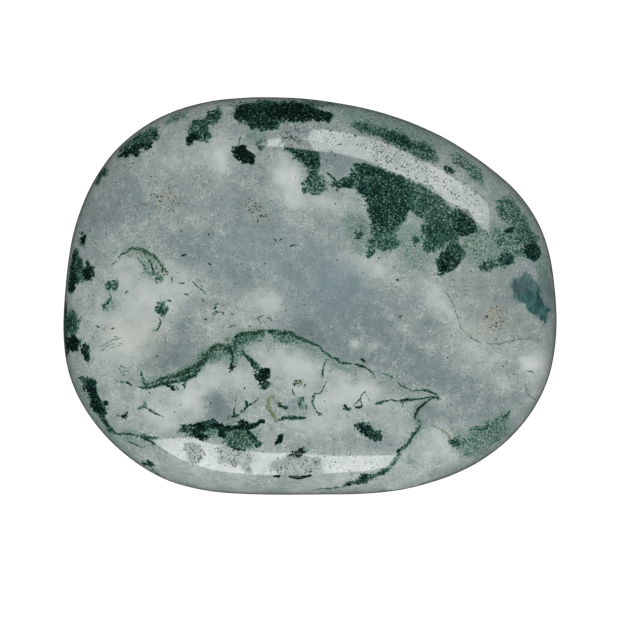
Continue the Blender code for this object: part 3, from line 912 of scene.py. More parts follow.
def cloud_group() -> bpy.types.NodeTree:
    """The group that adds one cloud, which fades away evenly from its middle, to those before it.

    Returns:
        The group. Curve and Line are the factors of minus the square of the reach from its middle.
    """
    sketch, given, end = new_group(
        "chalcedony_cloud",
        (
            ("Point", "Vector"),
            ("Squares", "Vector"),
            ("Before", "Float"),
            ("Line", "Vector"),
            ("Curve", "Vector"),
            ("Depth", "Float"),
        ),
        (("After", "Float"),),
    )
    bent = sketch.measure("DOT_PRODUCT", given["Squares"], given["Curve"])
    straight = sketch.measure("DOT_PRODUCT", given["Point"], given["Line"])
    shade = sketch.math("EXPONENT", sketch.math("ADD", bent, straight))
    total = sketch.math("MULTIPLY_ADD", shade, given["Depth"], given["Before"])
    sketch.feed(end.inputs["After"], total)
    return sketch.tree


def drift_group() -> bpy.types.NodeTree:
    """The group that gives how noise moves a point about, so that what is drawn has a rough edge.

    Returns:
        The group. Size is how large the lumps are and Reach how far they move a point, both in mm.
    """
    sketch, given, end = new_group(
        "ragged_edge",
        (("Point", "Vector"), ("Size", "Float"), ("Reach", "Float")),
        (("Drift", "Vector"),),
    )
    noise = sketch.node("ShaderNodeTexNoise")
    sketch.feed(noise.inputs["Vector"], given["Point"])
    sketch.feed(noise.inputs["Scale"], sketch.math("DIVIDE", 1.0, given["Size"]))
    noise.inputs["Detail"].default_value = 1.0
    push = sketch.vector("SUBTRACT", noise.outputs["Color"], (0.5, 0.5, 0.5))
    push = sketch.scaled(push, sketch.math("MULTIPLY", given["Reach"], DRIFT_GAIN))
    sketch.feed(end.inputs["Drift"], sketch.vector("MULTIPLY", push, (1.0, 1.0, 0.0)))
    return sketch.tree


def speck_group() -> bpy.types.NodeTree:
    """The group that strews round specks.

    Returns:
        The group. Spacing is the mean distance between the places where a speck may be, Radius the
        largest radius of one, both in mm, and Share how many of the places have one.
    """
    sketch, given, end = new_group(
        "strewn_specks",
        (("Point", "Vector"), ("Spacing", "Float"), ("Radius", "Float"), ("Share", "Float")),
        (("Specks", "Float"),),
    )
    cells = sketch.node("ShaderNodeTexVoronoi")
    sketch.feed(cells.inputs["Vector"], given["Point"])
    sketch.feed(cells.inputs["Scale"], sketch.math("DIVIDE", 1.0, given["Spacing"]))
    parts = sketch.node("ShaderNodeSeparateColor")
    sketch.feed(parts.inputs[0], cells.outputs["Color"])
    away = sketch.math("MULTIPLY", cells.outputs["Distance"], given["Spacing"])
    radius = sketch.math("MULTIPLY_ADD", parts.outputs[1], 1 - LEAST_SPECK, LEAST_SPECK)
    radius = sketch.math("MULTIPLY", radius, given["Radius"])
    speck = sketch.ease(sketch.math("DIVIDE", away, radius), *SPECK_EDGE)
    there = sketch.math("LESS_THAN", parts.outputs[0], given["Share"])
    sketch.feed(end.inputs["Specks"], sketch.math("MULTIPLY", speck, there))
    return sketch.tree


@dataclass(frozen=True)
class Place:
    """A place in the drawing: (x, y, 1) in mm, and the squares (x x, x y, y y) that ovals need."""

    point: Socket
    squares: Socket


class Markings:
    """Draws the stone's markings into a material, from the lists of ovals and threads."""

    def __init__(self, sketch: NodeSketch) -> None:
        """Takes the sketch of the material, and makes the groups that draw one mark each.

        Args:
            sketch: The sketch of the material.
        """
        self.sketch = sketch
        self.oval_tree = soft_oval_group()
        self.spot_tree = round_spot_group()
        self.cloud_tree = cloud_group()
        self.drift_tree = drift_group()
        self.speck_tree = speck_group()

    @staticmethod
    def reach_factors(oval: Oval) -> tuple[np.ndarray, np.ndarray]:
        """The factors that give the square of the reach from an oval's middle, 1 along its edge.

        Args:
            oval: The oval.

        Returns:
            The factors of (x, y, 1) and those of (x x, x y, y y).
        """
        turn = math.radians(oval.turn)
        axes = np.array(((math.cos(turn), math.sin(turn)), (-math.sin(turn), math.cos(turn))))
        axes /= np.array(((oval.length / 2,), (oval.width / 2,)))
        form = axes.T @ axes
        middle = np.array((oval.x, oval.y))
        line = np.array((*(-2 * form @ middle), middle @ form @ middle))
        curve = np.array((form[0, 0], 2 * form[0, 1], form[1, 1]))
        return line, curve

    def place(self, drawing: Feed) -> Place:
        """A place in the drawing, whose z is 0, made ready for the marks.

        Args:
            drawing: The vector that gives the place.

        Returns:
            The place and its squares.
        """
        sketch = self.sketch
        parts = sketch.node("ShaderNodeSeparateXYZ")
        sketch.feed(parts.inputs[0], drawing)
        x, y = parts.outputs["X"], parts.outputs["Y"]
        rows = []
        for sources in ((x, y, 1.0), (x, x, y), (x, y, y)):
            row = sketch.node("ShaderNodeCombineXYZ")
            for socket, source in zip(row.inputs, sources):
                sketch.feed(socket, source)
            rows.append(row.outputs[0])
        return Place(rows[0], sketch.vector("MULTIPLY", rows[1], rows[2]))

    def drift(self, point: Feed, size: float, reach: float) -> Socket:
        """How far noise of a size moves a point across the drawing, by up to about a reach in mm.

        Args:
            point: The point.
            size: How large the noise's lumps are, in mm.
            reach: How far it moves the point.

        Returns:
            The socket that gives the move.
        """
        return self.sketch.group(self.drift_tree, Point=point, Size=size, Reach=reach).outputs[0]

    def specks(self, point: Feed, spacing: float, radius: float, share: Feed) -> Socket:
        """Specks strewn at a spacing, up to a radius, on a share of the places.

        Args:
            point: Where they are read.
            spacing: The mean distance between their places, in mm.
            radius: The largest radius, in mm.
            share: How many of the places have one.

        Returns:
            The socket that gives them, 1 in a speck.
        """
        made = self.sketch.group(
            self.speck_tree, Point=point, Spacing=spacing, Radius=radius, Share=share
        )
        return made.outputs["Specks"]

    def ovals(self, place: Place, marks: tuple[Oval, ...], before: Feed = 0.0) -> Socket:
        """Ovals laid over each other, the strongest counting at each place.

        Args:
            place: Where the marks are read.
            marks: The ovals.
            before: The marks that they are laid over.

        Returns:
            The socket that gives how strongly the place is marked.
        """
        for oval in marks:
            inner, outer = 1 - oval.soft, 1 + oval.soft
            facts = {"Point": place.point, "Before": before, "Depth": oval.depth}
            if oval.length == oval.width:
                radius = oval.length / 2
                middle = (oval.x, oval.y, 1.0)
                made = self.sketch.group(
                    self.spot_tree, **facts, Middle=middle, Inner=inner * radius, Outer=outer * radius
                )
            else:
                line, curve = self.reach_factors(oval)
                made = self.sketch.group(
                    self.oval_tree,
                    **facts,
                    Squares=place.squares,
                    Line=tuple(line),
                    Curve=tuple(curve),
                    Inner=inner**2,
                    Outer=outer**2,
                )
            before = made.outputs["After"]
        return before

    def clouds(self, place: Place, marks: tuple[Oval, ...], before: Feed = 0.0) -> Socket:
        """Clouds added up, each the paler or darker by its depth.

        Args:
            place: Where the clouds are read.
            marks: The clouds.
            before: The tone that they are added to.

        Returns:
            The socket that gives the tone.
        """
        for oval in marks:
            line, curve = self.reach_factors(oval)
            made = self.sketch.group(
                self.cloud_tree,
                Point=place.point,
                Squares=place.squares,
                Before=before,
                Line=tuple(-line),
                Curve=tuple(-curve),
                Depth=oval.depth,
            )
            before = made.outputs["After"]
        return before

    def profile(self, along: Socket, points: list[tuple[float, float]], handle: str) -> Socket:
        """The height of a curve through some points, read at a place along it from 0 to 1.

        Args:
            along: The place along the curve.
            points: The points, from the first to the last.
            handle: How the curve passes them, by its name in Blender.

        Returns:
            The socket that gives the height.
        """
        made = self.sketch.node("ShaderNodeFloatCurve")
        made.mapping.use_clip = False
        curve = made.mapping.curves[0]
        curve.points[0].location = points[0]
        curve.points[1].location = points[-1]
        for place, height in points[1:-1]:
            curve.points.new(place, height)
        for point in curve.points:
            point.handle_type = handle
        made.mapping.update()
        self.sketch.feed(made.inputs["Value"], along)
        return made.outputs[0]

    def thread(self, place: Place, thread: Thread, before: Feed) -> Socket:
        """One thread laid over the marks before it.

        The thread is read as a line that wanders to the left and right of the straight way from its
        first point to its last, and a second curve gives its half breadth, which falls below nothing
        past its ends.

        Args:
            place: Where the marks are read.
            thread: The thread.
            before: The marks that it is laid over.

        Returns:
            The socket that gives how strongly the place is marked.
        """
        sketch = self.sketch
        knots = np.array([(x, y) for x, y, _ in thread.points])
        breadths = np.array([breadth for _, _, breadth in thread.points])
        way = (knots[-1] - knots[0]) / np.linalg.norm(knots[-1] - knots[0])
        left = np.array((-way[1], way[0]))
        ahead, aside = (knots - knots[0]) @ way, (knots - knots[0]) @ left
        if (np.diff(ahead) <= 0).any():
            raise ValueError(f"a thread turns back on itself near {thread.points[0]}")
        steepness = np.gradient(aside, ahead)
        half = breadths / 2 * np.hypot(1, steepness)
        soft = thread.soft * breadths.max() / 2
        past = breadths.max() / 2 + soft
        span = ahead[-1] + 2 * past
        shares = (ahead + past) / span
        along = (*(way / span), (past - knots[0] @ way) / span)
        across = (*left, -knots[0] @ left)
        share = sketch.measure("DOT_PRODUCT", place.point, tuple(along))
        middle = self.profile(share, list(zip(shares, aside)), "AUTO")
        end = PAST_END * soft
        radius = self.profile(share, [(0.0, end), *zip(shares, half), (1.0, end)], "VECTOR")
        side = sketch.measure("DOT_PRODUCT", place.point, across)
        away = sketch.math("ABSOLUTE", sketch.math("SUBTRACT", side, middle))
        outside = sketch.math("SUBTRACT", away, radius)
        mark = sketch.ease(outside, -soft, soft, thread.depth, 0.0)
        return sketch.math("MAXIMUM", before, mark)

    def threads(self, place: Place, marks: tuple[Thread, ...], before: Feed = 0.0) -> Socket:
        """Threads laid over what is before them, one after the other.

        Args:
            place: Where the threads are read.
            marks: The threads.
            before: The marks before them.

        Returns:
            The socket that gives how strongly the place is marked.
        """
        for thread in marks:
            before = self.thread(place, thread, before)
        return before


@dataclass(frozen=True)
class Looks:
    """What the stone's shader takes at each place, as the sockets that give it."""

    colour: Socket
    roughness: Socket
    coat: Socket
    normal: Socket


@dataclass(frozen=True)
class PolishedMossAgate:
    """The stone's finish: milky chalcedony, moss in it, pits in its polish, and a deep gloss.

    Attributes:
        thickness_mm: The stone's thickness, whose middle parts the drawing above from the one below.
        back: What the lower half's drawing is, as factors of x and y and a shift in mm.
        side_mm: How far from the middle height the drawings begin to show, and show in full.
        milk: How milky the stone is between its clouds, from 0, smoky, to 1, creamy.
        unevenness: The noise in the milk: how large its lumps are in mm, and how strong it is.
        blue: How much of the blue pools and of the painted dark reflection at the left rim shows, and the
            most of it at any place.
        tan: How much of the tan patches shows.
        lumps: How large the lumps are that make clouds and patches uneven, and how far, in mm.
        roots: The same for the edges of the moss, from coarse to fine.
        wiry: How much of each of the roots' moves the threads take.
        grey: Where on the way from smoke to cream the stone is grey enough for frost and soot.
        frost_mm: How large the patches of frost are, its grains and its worm-like streaks.
        grains: Where the noise of the grains makes one.
        grains_by_patch: How the patches' noise strengthens the grains.
        worms: How near its middle value the noise of the streaks makes one.
        worms_by_patch: How the patches' noise strengthens the streaks.
        soot_mm: How large the dark grains in the grey are.
        soot: Where their noise makes one.
        edge_moss_mm: How large the lumps of moss are on the stone's side.
        edge_moss: Where their noise makes one.
        grain: How large the moss's own grains are in mm, and how uneven they make it.
        tufts: The same for its tufts.
        veil: How thick the moss lies where it begins to hide the stone, and where it hides it.
        blackest: How thick the moss lies where it can't get blacker.
        warmth_mm: How large the warmer areas of the moss are.
        warmth: Where their noise makes the moss warmer.
        olive: How the moss's grains strengthen the olive threads.
        streaks: How the noise of the teal patch is drawn out, along X, Y and Z, and its size in mm.
        bright_streaks: Where that noise is teal rather than dark.
        crumbs: The spacing and largest radius in mm of the pale crumbs in the moss, and their share.
        crumbs_by_moss: How the thickness of the moss brings the crumbs out.
        pit_shade: How much painted shade darkens each pit.
        small_pits: The spacing and largest radius in mm of the small pits, and how many of the places
            have one where the polish is pitted and where it isn't.
        large_pits: The same for the large ones.
        pit_depth_mm: How deep a pit is.
        scuffs_mm: How large the lumps are that make a dull patch uneven.
        scuffs: How their noise strengthens the dull patch.
        roughness: How rough the stone is under its polish.
        dull_roughness: The same in pits and dull patches.
        refraction: The stone's index of refraction.
        under_specular: How much it mirrors under its polish.
        coat_refraction: The index of refraction of the polished surface.
        coat_roughness: How rough the polished surface is.
    """

    thickness_mm: float
    name: str = "moss_agate_polish"
    back: tuple[tuple[float, ...], tuple[float, ...]] = ((-0.93, -0.93, 0.0), (0.8, 0.6, 0.0))
    side_mm: tuple[float, float] = (0.5, 2.6)
    milk: float = 0.40
    unevenness: tuple[tuple[float, float], ...] = ((4.5, 0.45), (2.0, 0.4), (0.9, 0.3))
    blue: tuple[float, float] = (0.5, 0.6)
    tan: float = 0.45
    lumps: tuple[float, float] = (1.6, 0.35)
    roots: tuple[tuple[float, float], ...] = ((1.5, 0.24), (0.6, 0.20), (0.20, 0.17))
    wiry: tuple[float, ...] = (0.5, 0.35, 0.35)
    grey: Range = (0.74, 0.44)
    frost_mm: tuple[float, float, float] = (1.1, 0.17, 0.34)
    grains: Range = (0.57, 0.70)
    grains_by_patch: Range = (0.36, 0.60, 0.08, 0.44)
    worms: Range = (0.04, 0.0)
    worms_by_patch: Range = (0.44, 0.60, 0.0, 0.40)
    soot_mm: float = 0.25
    soot: Range = (0.52, 0.70, 0.05, 0.50)
    edge_moss_mm: float = 5.0
    edge_moss: Range = (0.53, 0.70, 0.0, Moss.DEEP.value)
    grain: tuple[float, float] = (0.20, 3.0)
    tufts: tuple[float, float] = (1.0, 0.8)
    veil: Range = (0.10, 0.85)
    blackest: float = 2.6
    warmth_mm: float = 3.0
    warmth: Range = (0.45, 0.7, 0.0, 0.35)
    olive: Range = (-0.5, 0.5, 0.5, 1.0)
    streaks: tuple[tuple[float, float, float], float] = ((2.4, 0.8, 0.8), 1.1)
    bright_streaks: Range = (0.36, 0.66)
    crumbs: tuple[float, float, float] = (0.20, 0.06, 0.5)
    crumbs_by_moss: Range = (0.4, 1.0, 0.0, 0.35)
    pit_shade: float = 0.95
    small_pits: tuple[float, ...] = (0.18, 0.085, 0.55, 0.010)
    large_pits: tuple[float, ...] = (0.50, 0.14, 0.24, 0.006)
    pit_depth_mm: float = 0.05
    scuffs_mm: float = 0.5
    scuffs: Range = (0.3, 0.5, 0.75, 1.0)
    roughness: float = 0.07
    dull_roughness: float = 0.70
    refraction: float = 1.54
    under_specular: float = 0.1
    coat_refraction: float = 1.54
    coat_roughness: float = 0.05

    def place(self, sketch: NodeSketch) -> tuple[Socket, Socket, Socket]:
        """Where the markings are read.

        The upper half takes them as they lie seen from above, and the lower half takes them
        turned half round, so that the back differs from the face. Between the halves they fade.

        Args:
            sketch: The sketch of the material.

        Returns:
            The place in mm in the solid, the same in the flat drawing, and how far the drawing shows.
        """
        coordinates = sketch.node("ShaderNodeTexCoord")
        solid = sketch.scaled(coordinates.outputs["Object"], 1 / MM)
        parts = sketch.node("ShaderNodeSeparateXYZ")
        sketch.feed(parts.inputs[0], solid)
        height = parts.outputs["Z"]
        middle = self.thickness_mm / 2
        flat = sketch.vector("MULTIPLY", solid, (1.0, 1.0, 0.0))
        turned = sketch.vector("MULTIPLY_ADD", solid, *self.back)
        below = sketch.math("LESS_THAN", height, middle)
        drawing = sketch.choose(below, flat, turned)
        from_middle = sketch.math("ABSOLUTE", sketch.math("SUBTRACT", height, middle))
        shown = sketch.ease(from_middle, *self.side_mm)
        return solid, drawing, shown

    def noisy(self, sketch: NodeSketch, tone: Socket, point: Socket, size: float, reach: float) -> Socket:
        """A tone made uneven by noise of a size in mm, by up to about a fifth of reach each way.

        Args:
            sketch: The sketch of the material.
            tone: The tone.
            point: Where the noise is read.
            size: How large its lumps are, in mm.
            reach: How strong it is.

        Returns:
            The socket that gives the tone.
        """
        uneven = sketch.math("SUBTRACT", sketch.noise(point, size, detail=3.0, roughness=0.6), 0.5)
        return sketch.math("ADD", tone, sketch.math("MULTIPLY", uneven, reach))

    def frost(self, sketch: NodeSketch, solid: Socket) -> Socket:
        """How strongly the pale grains and worm-like streaks show, which lie in patches.

        Args:
            sketch: The sketch of the material.
            solid: The place in the solid.

        Returns:
            The socket that gives it.
        """
        patch_size, grain_size, worm_size = self.frost_mm
        patches = sketch.noise(solid, patch_size, detail=2.0, roughness=0.6)
        grains = sketch.noise(solid, grain_size, detail=1.0, roughness=0.6)
        grains = sketch.ease(grains, *self.grains)
        grains = sketch.math("MULTIPLY", grains, sketch.ease(patches, *self.grains_by_patch))
        worms = sketch.noise(solid, worm_size, detail=1.0, roughness=0.6)
        worms = sketch.math("ABSOLUTE", sketch.math("SUBTRACT", worms, 0.5))
        worms = sketch.ease(worms, *self.worms)
        worms = sketch.math("MULTIPLY", worms, sketch.ease(patches, *self.worms_by_patch))
        return sketch.math("MAXIMUM", grains, worms)

    def chalcedony(self, sketch: NodeSketch, marks: Markings, solid: Socket, lumpy: Place) -> Socket:
        """The colour of the stone between the moss, from smoky grey to milky white.

        Args:
            sketch: The sketch of the material.
            marks: What draws the marks.
            solid: The place in the solid.
            lumpy: The place in the drawing, moved about a little.

        Returns:
            The socket that gives the colour.
        """
        tone = marks.clouds(lumpy, MILK, self.milk)
        for size, reach in self.unevenness:
            tone = self.noisy(sketch, tone, solid, size, reach)
        grey = sketch.ease(tone, *self.grey)
        tone = sketch.math("MULTIPLY_ADD", self.frost(sketch, solid), grey, tone)
        soot = sketch.noise(solid, self.soot_mm, detail=3.0, roughness=0.7)
        soot = sketch.ease(soot, *self.soot)
        tone = sketch.math("SUBTRACT", tone, sketch.math("MULTIPLY", soot, grey))
        stops = (
            (0.0, Tint.SMOKE),
            (0.25, Tint.ASH),
            (0.5, Tint.FOG),
            (0.75, Tint.MILK),
            (1.0, Tint.CREAM),
        )
        colour = sketch.ramp(tone, stops)
        blue_share, most_blue = self.blue
        # The blue includes a painted dark reflection in a strip along the left rim.
        blue = sketch.math("MULTIPLY", marks.clouds(lumpy, BLUE_POOLS_AND_RIM_REFLECTION), blue_share)
        colour = sketch.blend(sketch.math("MINIMUM", blue, most_blue), colour, Tint.BLUE_POOL.linear)
        tan = sketch.math("MULTIPLY", marks.ovals(lumpy, TAN_PATCHES), self.tan)
        return sketch.blend(tan, colour, Tint.TAN.linear)

    def moss(
        self, sketch: NodeSketch, marks: Markings, solid: Socket, drawing: Socket, shown: Socket
    ) -> tuple[Socket, Socket, Socket]:
        """How thick the moss lies at each place, with a painted dark reflection along the left rim.

        Args:
            sketch: The sketch of the material.
            marks: What draws the marks.
            solid: The place in the solid.
            drawing: The place in the flat drawing.
            shown: How far the drawing is shown there.

        Returns:
            The moss, where 1 is plain green and 2 is black, the olive threads, and the teal patch.
        """
        near = far = drawing
        for (size, reach), share in zip(self.roots, self.wiry):
            drift = marks.drift(solid, size, reach)
            near = sketch.vector("ADD", near, sketch.scaled(drift, share))
            far = sketch.vector("ADD", far, drift)
        wiry, ragged = marks.place(near), marks.place(far)
        drawn = marks.ovals(ragged, TOP_MOSS + GREEN_PATCH + RIGHT_MOSS + LEFT_MOSS + LOWER_MOSS)
        # These threads include the painted dark reflection along the left rim.
        drawn = marks.threads(wiry, MOSS_THREADS_AND_RIM_REFLECTION, drawn)
        drawn = marks.ovals(wiry, FLECKS, drawn)
        drawn = sketch.math("MULTIPLY", drawn, shown)
        grown = sketch.noise(solid, self.edge_moss_mm, detail=5.0, roughness=0.62)
        grown = sketch.ease(grown, *self.edge_moss)
        grown = sketch.math("MULTIPLY", grown, sketch.math("SUBTRACT", 1.0, shown))
        olive = sketch.math("MULTIPLY", marks.threads(wiry, OLIVE_THREADS), shown)
        teal = sketch.math("MULTIPLY", marks.ovals(ragged, TEAL_PATCH), shown)
        return sketch.math("ADD", drawn, grown), olive, teal

    def streaked(self, sketch: NodeSketch, solid: Socket, uneven: Socket) -> Socket:
        """The colour of the teal patch, which is streaked along the stone's width.

        Args:
            sketch: The sketch of the material.
            solid: The place in the solid.
            uneven: The moss's own unevenness, round 0.

        Returns:
            The socket that gives the colour.
        """
        stretch, size = self.streaks
        stretched = sketch.vector("MULTIPLY", solid, stretch)
        streak = sketch.noise(stretched, size, detail=4.0, roughness=0.7)
        streak = sketch.math("ADD", streak, sketch.math("MULTIPLY", uneven, 0.1))
        streak = sketch.ease(streak, *self.bright_streaks)
        return sketch.blend(streak, Tint.DARK_TEAL.linear, Tint.TEAL.linear)

    def coloured(
        self,
        sketch: NodeSketch,
        marks: Markings,
        solid: Socket,
        base: Socket,
        moss: tuple[Socket, Socket, Socket],
    ) -> Socket:
        """The moss laid into the chalcedony.

        Args:
            sketch: The sketch of the material.
            marks: What draws the marks.
            solid: The place in the solid.
            base: The colour of the chalcedony.
            moss: How thick the moss lies, and how strongly the olive threads and the teal patch show.

        Returns:
            The socket that gives the colour.
        """
        thick, olive, teal = moss
        (grain_size, grain_strength), (tuft_size, tuft_strength) = self.grain, self.tufts
        uneven = sketch.math("SUBTRACT", sketch.noise(solid, grain_size, detail=1.5, roughness=0.6), 0.5)
        uneven = sketch.math("MULTIPLY", uneven, grain_strength)
        tufted = sketch.math("SUBTRACT", sketch.noise(solid, tuft_size), 0.5)
        uneven = sketch.math("MULTIPLY_ADD", tufted, tuft_strength, uneven)
        thick = sketch.math("MULTIPLY", thick, sketch.math("ADD", uneven, 1.0))
        colour = sketch.blend(teal, base, self.streaked(sketch, solid, uneven))
        stops = (
            (0.0, Tint.MOSS_TRACE),
            (0.20, Tint.MOSS_VEIL),
            (0.36, Tint.MOSS_GREEN),
            (0.50, Tint.MOSS_DEEP),
            (0.66, Tint.MOSS_DARK),
            (0.90, Tint.MOSS_BLACK),
        )
        green = sketch.ramp(sketch.math("DIVIDE", thick, self.blackest), stops)
        warmer = sketch.ease(sketch.noise(solid, self.warmth_mm, detail=1.0), *self.warmth)
        green = sketch.blend(warmer, green, Tint.WARMER_MOSS.linear, "MULTIPLY")
        colour = sketch.blend(sketch.ease(thick, *self.veil), colour, green)
        olive = sketch.math("MULTIPLY", olive, sketch.ease(uneven, *self.olive))
        colour = sketch.blend(olive, colour, Tint.OLIVE.linear)
        crumbs = marks.specks(solid, *self.crumbs)
        crumbs = sketch.math("MULTIPLY", crumbs, sketch.ease(thick, *self.crumbs_by_moss))
        return sketch.blend(crumbs, colour, Tint.CRUMB.linear)

    def pits(self, sketch: NodeSketch, marks: Markings, solid: Socket, pitted: Socket) -> Socket:
        """The pits in the polish, small ones and large ones.

        Args:
            sketch: The sketch of the material.
            marks: What draws the marks.
            solid: The place in the solid.
            pitted: How pitted the polish is there.

        Returns:
            The socket that gives them, 1 in a pit.
        """
        sizes = []
        for spacing, radius, more, few in (self.small_pits, self.large_pits):
            share = sketch.math("MULTIPLY_ADD", pitted, more, few)
            sizes.append(marks.specks(solid, spacing, radius, share))
        return sketch.math("MAXIMUM", *sizes)

    def looks(self, sketch: NodeSketch) -> Looks:
        """Draws the whole finish, and gives what the shader takes from it.

        Args:
            sketch: The sketch of the material.

        Returns:
            The colour, the roughness, the coat and the normal.
        """
        marks = Markings(sketch)
        solid, drawing, shown = self.place(sketch)
        lumpy = marks.place(sketch.vector("ADD", drawing, marks.drift(solid, *self.lumps)))
        base = self.chalcedony(sketch, marks, solid, lumpy)
        moss = self.moss(sketch, marks, solid, drawing, shown)
        colour = self.coloured(sketch, marks, solid, base, moss)
        pitted = sketch.math("MULTIPLY", marks.ovals(lumpy, PITTED_PATCHES), shown)
        pits = self.pits(sketch, marks, solid, pitted)
        # The pits are darkened with painted shade, on top of their bump and dull polish.
        colour = sketch.blend(sketch.math("MULTIPLY", pits, self.pit_shade), colour, Tint.PIT.linear)
        dull = sketch.math("MULTIPLY", marks.ovals(lumpy, DULL_PATCHES), shown)
        rough = sketch.ease(sketch.noise(solid, self.scuffs_mm, detail=3.0), *self.scuffs)
        worn = sketch.math("MAXIMUM", sketch.math("MULTIPLY", dull, rough), pits)
        roughness = sketch.ease(worn, 0.0, 1.0, self.roughness, self.dull_roughness)
        coat = sketch.math("SUBTRACT", 1.0, worn)
        bump = sketch.node("ShaderNodeBump")
        bump.inputs["Distance"].default_value = self.pit_depth_mm * MM
        sketch.feed(bump.inputs["Height"], sketch.math("MULTIPLY", pits, -1.0))
        return Looks(colour, roughness, coat, bump.outputs["Normal"])

    def make(self) -> bpy.types.Material:
        """Builds the material.

        Returns:
            The material.
        """
        material = bpy.data.materials.new(self.name)
        material.use_nodes = True
        surface = material.node_tree.nodes["Principled BSDF"]
        sketch = NodeSketch(material.node_tree)
        looks = self.looks(sketch)
        sketch.feed(surface.inputs["Base Color"], looks.colour)
        sketch.feed(surface.inputs["Roughness"], looks.roughness)
        sketch.feed(surface.inputs["Coat Weight"], looks.coat)
        sketch.feed(surface.inputs["Normal"], looks.normal)
        surface.inputs["IOR"].default_value = self.refraction
        surface.inputs["Specular IOR Level"].default_value = self.under_specular
        surface.inputs["Coat IOR"].default_value = self.coat_refraction
        surface.inputs["Coat Roughness"].default_value = self.coat_roughness
        return material


@dataclass
class MossAgateStone:
    """The palm stone itself, one solid piece.

    Attributes:
        name: The finished object's name.
        thickness_mm: Its height as it lies, before it is fitted to its solid.
        outline_mm: Seen from above, how far the edge is from the middle, at even steps from +X.
        section: Each ring's share of the outline and of the thickness, from the underside up.
        crown_share: The height of the cage's middle, as a share of the thickness.
        smooth_levels: How often the coarse form is subdivided.
        waver_mm: How far the hand-polished surface wavers, and over what distance.
    """

    name: str = "moss_agate_palm_stone"
    thickness_mm: float = 14.0
    outline_mm: tuple[float, ...] = (
        25.4, 24.7, 22.5, 20.7, 19.8,
        19.8, 21.0, 23.1, 24.7, 25.0,
        25.1, 25.9, 25.2, 23.5, 21.2,
        20.2, 21.1, 23.1, 25.2, 26.1,
    )
    section: tuple[tuple[float, float], ...] = (
        (0.44, 0.000),
        (0.70, 0.000),
        (0.89, 0.085),
        (0.99, 0.255),
        (1.02, 0.500),
        (0.99, 0.745),
        (0.89, 0.910),
        (0.70, 0.985),
        (0.44, 1.005),
    )
    crown_share: float = 1.010
    smooth_levels: int = 4
    waver_mm: tuple[float, float] = (0.10, 6.0)

    def cage_points(self) -> np.ndarray:
        """The cage points in mm, whose smooth curve passes through the outline's own points.

        Returns:
            A row of x and y for each point.
        """
        count = len(self.outline_mm)
        turns = np.arange(count) * math.tau / count
        outline = np.array(self.outline_mm)[:, None] * np.stack([np.cos(turns), np.sin(turns)], axis=1)
        # A cubic curve passes each cage point at 4/6 of it and 1/6 of each neighbour.
        one = np.eye(count)
        passes = (4 * one + np.roll(one, 1, axis=0) + np.roll(one, -1, axis=0)) / 6
        return np.linalg.solve(passes, outline)

    def first_ring(self) -> bpy.types.Object:
        """The lowest ring: a circle whose points are moved onto the outline, drawn in.

        Returns:
            The ring.
        """
        points = self.cage_points() * self.section[0][0] * MM
        bpy.ops.object.select_all(action="DESELECT")
        bpy.ops.mesh.primitive_circle_add(vertices=len(points), radius=MM)
        ring = bpy.context.object
        half_step = math.pi / len(points)
        around = sorted(
            ring.data.vertices,
            key=lambda vertex: (math.atan2(vertex.co.y, vertex.co.x) + half_step) % math.tau,
        )
        for vertex, (x, y) in zip(around, points):
            vertex.co = (x, y, 0.0)
        return ring

    def close(self, rise_mm: float) -> None:
        """Closes the selected rim with a grid of faces, and moves its inner points up by a rise.

        Args:
            rise_mm: How far they are moved.
        """
        bpy.ops.mesh.fill_grid(span=len(self.outline_mm) // 4)
        bpy.ops.mesh.select_less()
        bpy.ops.transform.translate(value=(0.0, 0.0, rise_mm * MM))

    def cage(self) -> bpy.types.Object:
        """The coarse form: the first ring drawn up through the section, and closed at both ends.

        Returns:
            The coarse stone.
        """
        stone = self.first_ring()
        bpy.ops.object.mode_set(mode="EDIT")
        bpy.ops.mesh.select_all(action="SELECT")
        for (share, height), (next_share, next_height) in zip(self.section, self.section[1:]):
            rise = (next_height - height) * self.thickness_mm * MM
            bpy.ops.mesh.extrude_edges_move(TRANSFORM_OT_translate={"value": (0.0, 0.0, rise)})
            growth = next_share / share
            bpy.ops.transform.resize(value=(growth, growth, 1.0), center_override=(0.0, 0.0, 0.0))
        top_share = self.section[-1][1]
        self.close((self.crown_share - top_share) * self.thickness_mm)
        bpy.ops.mesh.select_all(action="DESELECT")
        bpy.ops.mesh.select_non_manifold()
        self.close(0.0)
        bpy.ops.mesh.select_all(action="SELECT")
        bpy.ops.mesh.normals_make_consistent(inside=False)
        bpy.ops.object.mode_set(mode="OBJECT")
        return stone

    def smooth(self, stone: bpy.types.Object) -> None:
        """Rounds the coarse form, and gives it the slight waver of a surface polished by hand.

        Args:
            stone: The coarse stone.
        """
        rounding = stone.modifiers.new("rounding", "SUBSURF")
        rounding.levels = rounding.render_levels = self.smooth_levels
        bpy.ops.object.modifier_apply(modifier=rounding.name)
        reach, size = self.waver_mm
        texture = bpy.data.textures.new("hand_polish", "CLOUDS")
        texture.noise_scale = size * MM
        texture.noise_depth = 1
        waver = stone.modifiers.new("waver", "DISPLACE")
        waver.texture = texture
        waver.strength = reach * MM
        bpy.ops.object.modifier_apply(modifier=waver.name)

    def fit(self, stone: bpy.types.Object) -> None:
        """Brings the stone exactly to the box of the solid that it stands for.

        Args:
            stone: The smoothed stone.
        """
        low, high = (np.array(corner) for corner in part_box(STONE_NODE))
        points = np.empty(len(stone.data.vertices) * 3)
        stone.data.vertices.foreach_get("co", points)
        points = points.reshape(-1, 3)
        now_low, now_high = points.min(axis=0), points.max(axis=0)
        points = low + (points - now_low) * (high - low) / (now_high - now_low)
        stone.data.vertices.foreach_set("co", points.ravel())
        stone.data.update()

